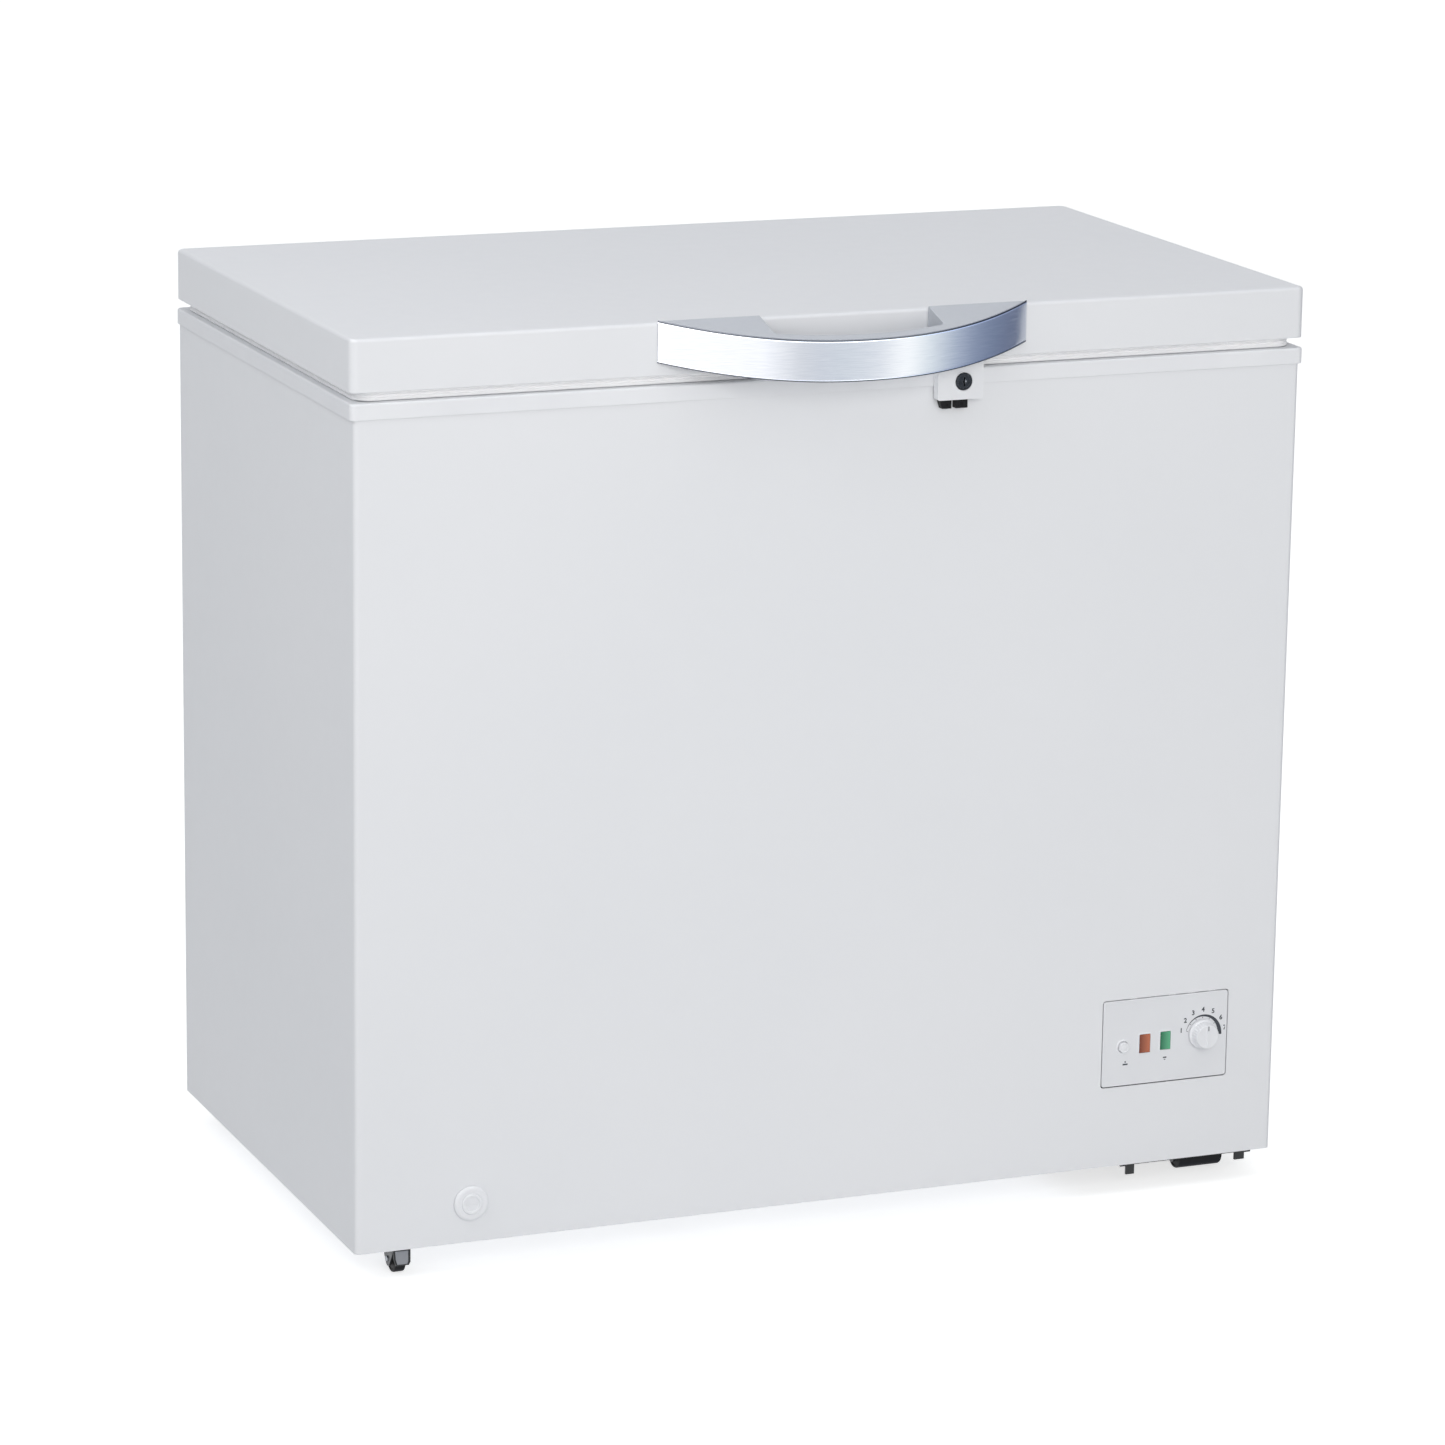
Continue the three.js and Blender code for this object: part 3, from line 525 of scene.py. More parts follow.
def brushed():
    """Bright brushed trim: the brushing runs along X; the dark lines along its top and bottom edges are painted shade,
    standing in for the shadowed gap between the band and the grip body.
    """
    m = Mat("brushed_bright_trim", rough=0.2, metal=1.0)
    lines = m.noise(1.0, 3.0, 0.7, m.stretch((14.0, 14.0, 5200.0)))
    fine = m.noise(1.0, 2.0, 0.6, m.stretch((60.0, 60.0, 1400.0)))
    tall = m.n.new("ShaderNodeVectorMath")
    tall.operation = "DOT_PRODUCT"
    tall.inputs[1].default_value = (0.0, -BAND_SLOPE, 1.0)
    m.l.new(m.co, tall.inputs[0])
    mid = ((BAND_LOW + BAND_HIGH) / 2 - BAND_SLOPE * (BAND_Y + OY)) * MM
    away = m.n.new("ShaderNodeMath")
    away.operation = "SUBTRACT"
    away.inputs[1].default_value = mid
    m.l.new(tall.outputs["Value"], away.inputs[0])
    size = m.n.new("ShaderNodeMath")
    size.operation = "ABSOLUTE"
    m.l.new(away.outputs[0], size.inputs[0])
    half = (BAND_HIGH - BAND_LOW) / 2
    # mask of the painted shade lines along the band's top and bottom edges
    line = m.span(size.outputs[0], 0.0, 1.0, (half - 1.5) * MM, (half - 1.1) * MM)
    face = m.mix(m.span(fine, 0.0, 1.0), srgb(226, 229, 235), srgb(236, 238, 242))
    # the band's face, darkened along both edges by the painted shade lines
    m.colour(m.mix(line, face, srgb(96, 99, 106)))
    m.rough(m.span(fine, 0.13, 0.18))
    m.bump(lines, 0.0006)
    return m.m


def copper():
    m = Mat("copper_pipe", rough=0.3, metal=1.0)
    ox = m.span(m.noise(38.0, 5.0, 0.65), 0.0, 1.0, 0.42, 0.72)
    m.colour(m.mix(ox, srgb(206, 128, 92), srgb(122, 76, 58)))
    m.rough(m.span(m.noise(90.0, 3.0), 0.22, 0.48))
    m.bump(m.noise(600.0, 2.0), 0.01)
    return m.m


def foam():
    m = Mat("rigid_polyurethane_foam", rough=0.9, spec=0.2)
    m.colour(m.mix(m.span(m.noise(22.0, 5.0), 0.0, 1.0), srgb(222, 204, 142), srgb(240, 228, 180)))
    m.rough(m.span(m.noise(120.0, 3.0), 0.82, 0.96))
    m.bump(m.voronoi(520.0), 0.5)
    m.bump(m.noise(40.0, 4.0), 1.0)
    return m.m


def black_paint():
    m = Mat("black_stoved_paint", rough=0.32, coat=0.3)
    base = m.mix(m.span(m.noise(26.0, 5.0), 0.0, 0.6, 0.5, 0.8), srgb(22, 23, 25), srgb(44, 44, 46))
    m.colour(m.edge(base, srgb(96, 94, 92), 1.0, 0.4))
    m.rough(m.span(m.noise(140.0, 3.0), 0.26, 0.5))
    m.bump(m.noise(260.0, 2.0), 0.03)
    return m.m


def stucco():
    """Embossed coated aluminium of the storage cavity."""
    m = Mat("embossed_liner_sheet", rough=0.42, metal=0.2)
    m.colour(m.mix(m.span(m.noise(5.0, 3.0), 0.0, 1.0), srgb(222, 225, 228), srgb(234, 236, 238)))
    m.rough(m.span(m.noise(80.0, 2.0), 0.38, 0.50))
    m.bump(m.voronoi(190.0, "Distance", "SMOOTH_F1"), 0.12)
    m.bump(m.noise(700.0, 2.0), 0.012)
    return m.m


def lens(name, shaded_tint, bright, glow, x0, x1):
    """Tinted window: its colour runs from painted shade at the left edge to painted light at the right."""
    m = Mat(name, rough=0.2, ior=1.49, coat=0.25, coat_rough=0.12)
    side = m.n.new("ShaderNodeSeparateXYZ")
    m.l.new(m.co, side.inputs[0])
    painted_light_ramp = m.n.new("ShaderNodeMapRange")
    m.l.new(side.outputs["X"], painted_light_ramp.inputs["Value"])
    painted_light_ramp.inputs["From Min"].default_value, painted_light_ramp.inputs["From Max"].default_value = x0 * MM, x1 * MM
    # the base colour blends from painted shade at the left edge to painted light at the right
    m.colour(m.mix(painted_light_ramp.outputs["Result"], shaded_tint, bright))
    m.rough(m.span(m.noise(300.0, 2.0), 0.16, 0.28))
    m.b.inputs["Emission Color"].default_value = glow
    m.b.inputs["Emission Strength"].default_value = 0.06
    m.bump(m.noise(500.0, 1.0), 0.008)
    return m.m


def dark_lock():
    m = Mat("dark_lock_metal", rough=0.3, metal=0.7)
    base = m.mix(m.span(m.noise(160.0, 4.0), 0.0, 1.0), srgb(34, 38, 44), srgb(58, 63, 70))
    # the pale convex edges are a painted highlight on the dark metal
    m.colour(m.edge(base, srgb(150, 154, 160), 0.5, 0.5))
    m.rough(m.span(m.noise(400.0, 3.0), 0.22, 0.42))
    m.bump(m.noise(1200.0, 2.0), 0.006)
    return m.m


def coated_wire():
    m = Mat("white_coated_wire", rough=0.33, coat=0.3)
    m.colour(m.mix(m.span(m.noise(30.0, 3.0), 0.0, 1.0), srgb(230, 232, 234), srgb(242, 243, 245)))
    m.rough(m.span(m.noise(150.0, 3.0), 0.26, 0.42))
    m.bump(m.noise(420.0, 2.0), 0.04)
    return m.m


M_RUBBER, M_ZINC, M_BAND, M_COPPER, M_FOAM = rubber(), zinc(), brushed(), copper(), foam()
M_BPAINT, M_LINER, M_LOCK, M_WIRE = black_paint(), stucco(), dark_lock(), coated_wire()
# each window's first colour is its painted shade at the left edge, the second its painted light at the right
M_ORANGE = lens("orange_lens_plastic", srgb(104, 44, 22), srgb(184, 104, 70), srgb(220, 110, 60), 318.5, 329.5)
M_GREEN = lens("green_lens_plastic", srgb(22, 92, 62), srgb(88, 172, 130), srgb(60, 190, 130), 340.5, 350.8)

# --------------------------------------------------------------------------
# lid
# --------------------------------------------------------------------------
LX0, LX1, LY0, LY1, LZ0, LZ1 = cad("lid_outer_cap")
LR = 8.0


def inset(d, z, r=LR, seg=10):
    return rring(LX0 + d, LX1 - d, LY0 + d, LY1 - d, r - d if r - d > 1.2 else 1.2, z, seg)


rings = [inset(4.4, LZ1 - 1.2), inset(2.2, LZ1 - 2.0), inset(1.2, LZ1 - 4.0), inset(1.2, LZ0 + 1.2), inset(1.05, LZ0 + 0.3), inset(0.75, LZ0),
         inset(0.4, LZ0), inset(0.1, LZ0 + 0.3), inset(0.0, LZ0 + 1.2), inset(0.0, LZ1 - 5.0)]
for i in range(9):
    a = math.radians(90 * i / 8)
    rings.append(inset(3.4 * (1 - math.cos(a)), LZ1 - 3.4 + 3.4 * math.sin(a)))
rings.append(inset(4.4, LZ1))
piece(loft("lid_skin", rings), "lid", M_LID, ["lid_outer_cap"], smooth=50)

# thermoformed pan under the lid
PX0, PX1, PY0, PY1, PZ0, PZ1 = cad("lid_inner_liner")


def pan(hx, hy, r, z):
    return rring(-hx, hx, -hy, hy, r, z, 8)


low = [rring(PX0, PX1, PY0, PY1, 6, 817.9, 8), rring(PX0 + 0.4, PX1 - 0.4, PY0 + 0.4, PY1 - 0.4, 5.6, 817.6, 8),
       pan(430, 228, 14, 817.6), pan(385.0, 184.0, 24, 817.6), pan(384.6, 183.6, 23, 816.2), pan(384.4, 183.4, 22, 812.0),
       pan(384.1, 183.1, 21, 803.6), pan(383.8, 182.8, 21, 801.3), pan(382.9, 181.9, 20.6, 800.1), pan(381.2, 180.2, 20, 799.5), pan(376.6, 175.6, 19, 799.5),
       pan(352.0, 151.0, 16, 799.5), pan(349.5, 148.5, 15, 799.8), pan(347.6, 146.6, 14, 800.2), pan(345.0, 144.0, 13, 800.3)]
high = [pan(345.0, 144.0, 13, 803.2), pan(376.0, 175.0, 18, 801.5), pan(380.0, 179.0, 20, 803.6), pan(382.0, 181.0, 21, 812.0),
        pan(383.0, 182.0, 22, 818.6), pan(384.6, 183.6, 22, 819.4), rring(PX0 + 0.4, PX1 - 0.4, PY0 + 0.4, PY1 - 0.4, 5.6, 819.4, 8),
        rring(PX0, PX1, PY0, PY1, 6, 819.1, 8)]
lp = loft("lid_pan", list(reversed(low)) + list(reversed(high)), caps=True)
piece(lp, "lid", M_PRESSED, ["lid_inner_liner"], smooth=50)
carry("lid_foam", M_FOAM)

# bellows gasket
GX0, GX1, GY0, GY1, GZ0, GZ1 = cad("lid_gasket")
prof = [(0.9, GZ1), (17.1, GZ1), (17.7, GZ1 - 0.5), (16.4, GZ1 - 2.0), (17.8, GZ1 - 3.4), (16.6, GZ1 - 4.8), (18.0, GZ1 - 6.0), (18.0, GZ0 + 0.9), (17.4, GZ0 + 0.1), (16.6, GZ0),
        (1.4, GZ0), (0.6, GZ0 + 0.1), (0.0, GZ0 + 0.9), (0.0, GZ1 - 6.0), (1.3, GZ1 - 4.9), (0.2, GZ1 - 3.4), (1.5, GZ1 - 2.0), (0.3, GZ1 - 0.5)]
fine = []
for i, (d, z) in enumerate(prof):
    d2, z2 = prof[(i + 1) % len(prof)]
    fine.append((d, z))
    fine.append(((d + d2) / 2, (z + z2) / 2))
fine = [(d * 1.28 - 5.0, z) for d, z in fine]      # its outer lip reaches 5 mm further out than the plain section
gk = loft("door_gasket", [rring(GX0 + d, GX1 - d, GY0 + d, GY1 - d, max(12 - d, 5.0), z, 8) for d, z in fine], loop=True)
piece(gk, "lid", M_GASKET, ["lid_gasket"], smooth=75)

# --------------------------------------------------------------------------
# bow handle
# --------------------------------------------------------------------------
BOW_HX, BOW_Y, BOW_OUT, BOW_POW, BOW_DROP, BOW_TOP, BOW_H = 180.0, -263.2, 56.9, 2.18, 16.4, 866.9, 37.8
SLOPE = BOW_DROP / BOW_OUT


def bow(s, d=0.0):
    x, y = BOW_HX * s, BOW_Y - BOW_OUT * (1 - abs(s) ** BOW_POW)
    k = BOW_OUT * BOW_POW * math.copysign(abs(s) ** (BOW_POW - 1), s) / BOW_HX
    n = math.hypot(1, k)
    return x - k / n * d, y + d / n


def lean(x, y, z):
    return x, y, z + SLOPE * (y - BOW_Y)


def bow_line(d, n=110):
    return [bow(-1 + 2 * i / n, d) for i in range(n + 1)]


def crown(t):
    u = abs(2 * t / BOW_H - 1)
    return 0.28 * u ** 3


section = [(1.5, 0.0), (0.62, 0.0), (0.40, 0.18), (0.30, 0.5), (0.28, 1.1), (0.62, 1.35), (0.72, 1.6), (0.62, 1.85), (0.26, 2.1)]
section += [(crown(t), t) for t in [3.2 + (BOW_H - 6.4) * i / 12 for i in range(13)]]
section += [(0.26, BOW_H - 2.1), (0.62, BOW_H - 1.85), (0.72, BOW_H - 1.6), (0.62, BOW_H - 1.35), (0.28, BOW_H - 1.1), (0.30, BOW_H - 0.5), (0.40, BOW_H - 0.18), (0.62, BOW_H), (1.5, BOW_H)]
NB = 140
svals = [(-1.0, 0.55), (-0.9975, 0.18), (-0.993, 0.0)] + [(-0.985 + 1.97 * i / NB, 0.0) for i in range(NB + 1)] + [(0.993, 0.0), (0.9975, 0.18), (1.0, 0.55)]
rings = []
for s, pull in svals:
    ring = []
    for d, t in section:
        dd = max(d, pull) if d < 1.4 else d
        x, y = bow(s, dd)
        ring.append(lean(x, y, BOW_TOP - BOW_H + t))
    rings.append(ring)
band = loft("handle_trim_band", rings)
piece(band, "lid", M_BAND, ["handle_band"], smooth=28)


def leaned(name, outline, z0, z1):
    n = len(outline)
    verts = [lean(x, y, z0) for x, y in outline] + [lean(x, y, z1) for x, y in outline]
    faces = [(j, (j + 1) % n, n + (j + 1) % n, n + j) for j in range(n)] + [tuple(range(n)), tuple(range(n, 2 * n))]
    return build(name, verts, faces)


edge_pts = [p for p in bow_line(1.9) if p[1] < -262.6]
outer = edge_pts + [(edge_pts[-1][0] + 1.2, -261.85), (edge_pts[0][0] - 1.2, -261.85)]
grip = [p for p in bow_line(12) if abs(p[0]) < 74]


def arc(cx, cy, r, a0, a1, n=6):
    return [(cx + r * math.cos(math.radians(a0 + (a1 - a0) * i / n)), cy + r * math.sin(math.radians(a0 + (a1 - a0) * i / n))) for i in range(n + 1)]


gy = grip[0][1]
hole = [(-82, -250)] + arc(-76, gy + 6.6, 6, 180, 262, 6) + grip + arc(76, gy + 6.6, 6, 278, 360, 6) + [(82, -250)]


def wing(s):
    e = [p for p in bow_line(6) if s * p[0] > 88 and p[1] < -268]
    if s > 0:
        return [(87, e[0][1])] + e + [(e[-1][0] + 3, -265.5), (87, -265.5)]
    return [(e[0][0] - 3, -265.5)] + e + [(-87, e[-1][1]), (-87, -265.5)]


hb = leaned("handle_grip_body", outer, BOW_TOP - BOW_H + 0.4, BOW_TOP - 0.4)
boolean(hb, [leaned("c1", hole, BOW_TOP - BOW_H - 30, BOW_TOP + 30), leaned("c2", wing(-1), BOW_TOP - BOW_H - 20, BOW_TOP - 4.5),
             leaned("c3", wing(1), BOW_TOP - BOW_H - 20, BOW_TOP - 4.5)])
piece(hb, "lid", M_GREY, ["handle_body"], bevel=0.8, seg=3, angle=40)

# --------------------------------------------------------------------------
# key lock
# --------------------------------------------------------------------------
LKX, LKZ = 114.5, 797.8


def corner_box(x0, x1, z0, z1, r, seg=6):
    return [(x, z) for x, z, _ in rring(x0, x1, z0, z1, r, 0, seg)]


lh = prism("lock_case", [(91.2, 781.2), (132.8, 781.2)] + arc(132.0, 783.4, 2.0, -70, 0, 4) + [(134, 826.0), (89, 826.0)] + arc(91.0, 783.4, 2.0, 180, 250, 4), -272.0, -261.85, "XZ")
boolean(lh, [block("c1", 91.2, 131.8, -269.8, -250, 770, 812), block("c2", 80, 140, -262.7, -250, 770, 815.5),
             rod("c3", "Y", (LKX, LKZ), -280, -260, 8.35, 48)])
piece(lh, "lid", M_PLASTIC, ["lock_housing"], bevel=0.9, seg=3, angle=40)

# escutcheon ring round the key cylinder, within the housing's face
ring_prof = [(8.4, -0.2), (10.0, -0.2), (10.0, 0.25), (9.7, 0.5), (8.9, 0.55), (8.4, 0.3)]
rr = []
for r, h in ring_prof:
    rr.append([(LKX + r * math.cos(2 * math.pi * j / 48), -272.0 - h, LKZ + r * math.sin(2 * math.pi * j / 48)) for j in range(48)])
piece(loft("lock_escutcheon", rr, loop=True), "lid", M_PLASTIC, smooth=50)

cy = lathe("key_cylinder", [(0, 0), (7.4, 0), (7.9, 0.4), (7.95, 5.6), (7.5, 6.3), (6.6, 6.55), (6.2, 6.1), (5.8, 6.1), (5.5, 6.5), (0, 6.5)], (LKX, -267.0, LKZ), "-Y", 48)
boolean(cy, [block("c1", LKX - 0.9, LKX + 0.9, -275, -270.4, LKZ - 4.2, LKZ + 4.2), block("c2", LKX - 2.0, LKX + 2.0, -275, -271.6, LKZ - 1.0, LKZ + 1.0)])
tongue = prism("tongue", [(LKX - 3.4, LKZ)] + arc(LKX, LKZ - 11.8, 3.4, 180, 360, 8) + [(LKX + 3.4, LKZ)], -267.2, -265.6, "XZ")
piece(join_objects("key_cylinder_and_tongue", [cy, tongue]), "lock", M_LOCK, ["lock_cylinder"], smooth=35)

# a small light zinc disc in the keyway: a painted highlight standing in for the glints on the key cylinder
glint_disc = rod("key_glint_disc", "Y", (LKX + 1.7, LKZ + 0.3), -273.42, -273.2, 2.3, 32)
boolean(glint_disc, [block("c1", LKX - 1.2, LKX + 0.7, -274, -273, LKZ - 4.0, LKZ + 4.0), block("c2", LKX, LKX + 6, -274, -273, LKZ - 0.9, LKZ - 0.3)])
piece(glint_disc, "lock", M_ZINC, smooth=35)

kp = prism("k0", [(92.4, 781.8), (95.2, 772.9), (104.4, 772.9), (104.4, 781.8)], -268.6, -261.05, "XZ")
boolean(kp, [block("c1", 108.6, 120.4, -268.6, -261.05, 772.8, 781.8), block("c2", 93, 120.4, -264.0, -261.05, 780.4, 781.8),
             block("c3", 92, 94.6, -268.6, -264.6, 781.0, 806.6), block("c4", 94.0, 102.0, -268.6, -264.6, 803.0, 806.6)], "UNION")
boolean(kp, [rod("c5", "Y", (99.6, 776.8), -269, -267.6, 1.7, 24), rod("c6", "Y", (113.8, 776.8), -269, -267.6, 1.7, 24)])
kp.name = "lock_keeper_block"
piece(kp, "cabinet", M_BLACK, ["lock_keeper"], bevel=0.5, seg=3, angle=40)

# --------------------------------------------------------------------------
# cabinet skins
# --------------------------------------------------------------------------
SX0, SX1, SY0, SY1, SZ0, SZ1 = cad("outer_shell")


def shell_path(off, seg=10):
    r = 5.0 - off
    x0, x1, y0 = SX0 + off, SX1 - off, SY0 + off
    return [(x0, SY1)] + arc(x0 + r, y0 + r, r, 180, 270, seg) + arc(x1 - r, y0 + r, r, 270, 360, seg) + [(x1, SY1)]


plan = shell_path(0.0) + list(reversed(shell_path(1.2)))
sh = prism("cabinet_skin", plan, SZ0, SZ1)
boolean(sh, [prism("c1", corner_box(279.2, 411.5, 107.7, 193.7, 3.2), -270, -250, "XZ"), rod("c2", "Y", (-351.5, 66.7), -270, -250, 11, 32),
             block("c3", 450, 470, -150, 150, 80, 220)])
piece(sh, "cabinet", M_ENAMEL, ["outer_shell"], smooth=30)
carry("rear_panel", M_ENAMEL)
carry("bottom_panel", M_ZINC)

# plastic rim round the mouth
RX0, RX1, RY0, RY1, RZ0, RZ1 = cad("top_rim_frame")
ZT = RZ1
SK = (-462.0, 462.0, -261.05, 261.35)


def rim(d, z, r=6.0):
    return rring(RX0 + d, RX1 - d, RY0 + d, RY1 - d, max(r - d, 1.0) if d < 5 else r + d * 0.2, z, 10)


def mouth(g, z, r=26.0):
    return rring(-402.5 - g, 402.5 + g, -202.5 - g, 202.5 + g, r + g, z, 10)


rings = [rim(0.3, RZ0), rim(0.0, RZ0 + 0.4), rim(0.0, ZT - 2.8)]
for i in range(7):
    a = math.radians(90 * i / 6)
    rings.append(rim(2.0 * (1 - math.cos(a)), ZT - 2.0 + 2.0 * math.sin(a)))
rings += [rim(3.0, ZT, 6.0), rim(9.6, ZT), rim(10.2, ZT - 0.25), rim(10.6, ZT - 0.7), rim(30.6, ZT - 0.7), rim(31.0, ZT - 0.25), rim(31.6, ZT), rim(40.0, ZT)]
for i in range(7):
    a = math.radians(90 * i / 6)
    rings.append(mouth(3.0 - 3.0 * math.sin(a), ZT - 3.0 + 3.0 * math.cos(a)))
rings += [mouth(0.0, ZT - 10.0), mouth(0.15, ZT - 10.4), mouth(0.35, ZT - 10.0), mouth(0.42, ZT - 3.2), mouth(2.2, ZT - 2.2),
          rring(*SK, 4.5, ZT - 2.2, 10), rring(*SK, 4.5, RZ0 + 0.4, 10), rring(SK[0] - 0.3, SK[1] + 0.3, SK[2] - 0.3, SK[3] + 0.3, 4.8, RZ0, 10)]
piece(loft("mouth_rim", rings, loop=True), "cabinet", M_RIM, ["top_rim_frame"], smooth=50)

# --------------------------------------------------------------------------
# storage cavity liner
# --------------------------------------------------------------------------
cav = prism("cavity_liner", [(x, y) for x, y, _ in rring(-403, 403, -203, 203, 26, 0, 12)], 91.5, 806.2)
boolean(cav, [block("c1", 206, 500, -300, 300, 0, 313)])
weld_mesh(cav, 1e-5)
bm = bmesh.new()
bm.from_mesh(cav.data)
top_z = 806.2 * MM
floor = [f for f in bm.faces if all(abs(v.co.z - top_z) < 1e-5 for v in f.verts)]
bmesh.ops.delete(bm, geom=floor, context="FACES")
sharp = [e for e in bm.edges if len(e.link_faces) == 2 and e.calc_face_angle(0) > math.radians(50)]
bmesh.ops.bevel(bm, geom=sharp, offset=9 * MM, segments=6, profile=0.5, affect="EDGES", clamp_overlap=True)
bmesh.ops.remove_doubles(bm, verts=bm.verts, dist=1e-6)
bmesh.ops.recalc_face_normals(bm, faces=bm.faces)
bm.to_mesh(cav.data)
bm.free()
sol = cav.modifiers.new("thick", "SOLIDIFY")
sol.thickness, sol.offset = 1.45 * MM, 1.0
bpy.context.view_layer.update()
baked(cav)
lo_x = min(v.co.x for v in cav.data.vertices) / MM
if lo_x > -404:      # the sheet grew inwards: turn the offset round
    raise SystemExit("liner thickness went inwards")
boolean(cav, [rod("c1", "Z", (-351.5, -165), 80, 100, 9.5, 32), block("c2", -500, 500, -300, 300, 805.65, 900)])
piece(cav, "cabinet", M_LINER, ["inner_liner"], smooth=50)
carry("cabinet_foam", M_FOAM)

# --------------------------------------------------------------------------
# refrigeration pipes
# --------------------------------------------------------------------------
EV_HX, EV_HY = 403 + 1.5 + 5.0, 203 + 1.5 + 5.0
EV_Z = [345, 450, 555, 660, 765]
ev = [(300, EV_HY, 236)]
for i, z in enumerate(EV_Z):
    ev += [(300, EV_HY, z), (-EV_HX, EV_HY, z), (-EV_HX, -EV_HY, z), (EV_HX, -EV_HY, z), (EV_HX, EV_HY, z)]
    if i < len(EV_Z) - 1:
        ev.append((345, EV_HY, z))
ev += [(352, EV_HY, 765), (352, EV_HY + 13, 765), (352, EV_HY + 13, 150), (352, 132.5, 150)]
piece(tube("evaporator_tube", bends(ev, 24, 6), 3.95, 14), "cabinet", M_ZINC, ["evaporator_coil"], smooth=60)
CO_X, CO_Y = 461.65 - 1.2 - 0.5 - 2.4, -260.7 + 1.2 + 0.5 + 2.4
CZ = [330, 430, 530, 630]
co = [(372, 132.6, 122), (372, 190, 122), (CO_X, 210, 200), (CO_X, 210, CZ[0]), (CO_X, CO_Y, CZ[0]),
      (-CO_X, CO_Y, CZ[0]), (-CO_X, 210, CZ[0]), (-CO_X, 210, CZ[1]), (-CO_X, CO_Y, CZ[1]),
      (CO_X, CO_Y, CZ[1]), (CO_X, 180, CZ[1]), (CO_X, 180, CZ[2]), (CO_X, CO_Y, CZ[2]),
      (-CO_X, CO_Y, CZ[2]), (-CO_X, 210, CZ[2]), (-CO_X, 210, CZ[3]), (-CO_X, CO_Y, CZ[3]),
      (CO_X, CO_Y, CZ[3]), (CO_X, 238, CZ[3]), (CO_X, 238, 236), (430, 236, 228), (430, 236, 206.6)]
piece(tube("condenser_tube", bends(co, 12, 5), 2.35, 12), "cabinet", M_COPPER, ["condenser_coil"], smooth=60)
piece(tube("capillary_pipe", bends([(430, 236, 95.4), (430, 236, 70), (300, 236, 70), (300, EV_HY, 90), (300, EV_HY, 235.4)], 14, 6), 1.3, 10),
      "cabinet", M_COPPER, ["capillary_tube"], smooth=60)
piece(lathe("filter_drier_body", [(0, 96), (2.2, 96), (2.6, 97), (2.9, 102), (4.4, 104.4), (7.6, 108.0), (8.4, 111.0), (8.5, 113), (8.2, 115), (8.2, 117), (8.5, 119), (8.5, 188), (8.2, 192), (6.2, 196.4),
                                    (3.2, 199), (2.9, 201), (2.6, 205), (2.2, 206), (0, 206)], (430, 236, 0), "Z", 36), "cabinet", M_COPPER, ["filter_drier"], smooth=50)

# --------------------------------------------------------------------------
# compressor compartment
# --------------------------------------------------------------------------
carry("compartment_liner", M_ZINC)
carry("compressor_base_plate", M_BPAINT, 0.3)
CX, CYC = 358.0, 50.0
cprof = [(0, 50)] + [(r, z) for r, z in ((46, 50), (52, 50.6), (58, 53), (64, 58), (68, 65), (70, 74), (70, 124), (70, 126))]
cprof += [(r, z) for r, z in ((70, 152), (69.4, 160), (66.6, 172), (61, 183), (52, 192), (42, 198.4), (30, 203), (18, 205.4), (0, 206))]
can = lathe("can", cprof, (CX, CYC, 0), "Z", 72)
foot = prism("foot", corner_box(CX - 86, CX + 86, CYC - 62, CYC + 62, 14, 6), 46.6, 51.5, "XY")
boolean(can, [foot], "UNION")
can.name = "compressor_can"
piece(can, "cabinet", M_BPAINT, ["compressor"], bevel=1.2, seg=3, angle=50)
for tag, sx, sy in (("front_left", -1, -1), ("front_right", 1, -1), ("rear_left", -1, 1), ("rear_right", 1, 1)):
    c = (CX + sx * 72, CYC + sy * 48, 0)
    piece(lathe("rubber_grommet_" + tag, [(0, 31.8), (12.4, 31.8), (13, 32.4), (13, 34.6), (12.4, 35.4), (10, 37.2), (9, 38.6), (9, 40.6), (9.8, 42.2), (11.6, 43.4), (12, 44.2), (12, 45.6), (11.5, 46.2), (0, 46.2)], c, "Z", 32),
          "cabinet", M_RUBBER, ["rubber_mount_" + tag], smooth=50)
carry("relay_cover", M_BLACK, 1.6, 3)
sv = block("side_vent_plate", *cad("side_vent_grille"))
boolean(sv, [block("v%d" % (2 * i + k), 455, 470, y0, y1, 90 + i * 14, 96 + i * 14) for i in range(9) for k, (y0, y1) in enumerate(((-140, -4), (4, 140)))])
piece(sv, "cabinet", M_PLASTIC, ["side_vent_grille"], bevel=0.5, seg=2, angle=40)
rc = block("rear_cover_plate", *cad("rear_service_cover"))
boolean(rc, [rod("g", "Y", (310, 75), 255, 272, 8.4, 40)] + [block("v%d" % i, 292, 432, 255, 272, 120 + i * 15, 126 + i * 15) for i in range(8)])
piece(rc, "cabinet", M_ZINC, ["rear_service_cover"], bevel=0.35, seg=2, angle=40)
piece(lathe("cord_gland", [(4.2, 258.2), (7.4, 258.2), (8.0, 258.8), (8.0, 263.7), (11.4, 263.75), (12.0, 264.3), (12.0, 266.2), (11.2, 267.0), (8.2, 267.0), (7.6, 267.6), (5.0, 268.0), (4.4, 267.6), (4.2, 266.8), (4.2, 258.2)],
            (310, 0, 75), "Y", 40), "cabinet", M_BLACK, ["mains_cord_gland"], smooth=45)

# --------------------------------------------------------------------------
# control panel
# --------------------------------------------------------------------------
QX0, QX1, QY0, QY1, QZ0, QZ1 = cad("control_panel")
KX, KZ, BX, BZ = 384.0, 152.3, 301.4, 147.0


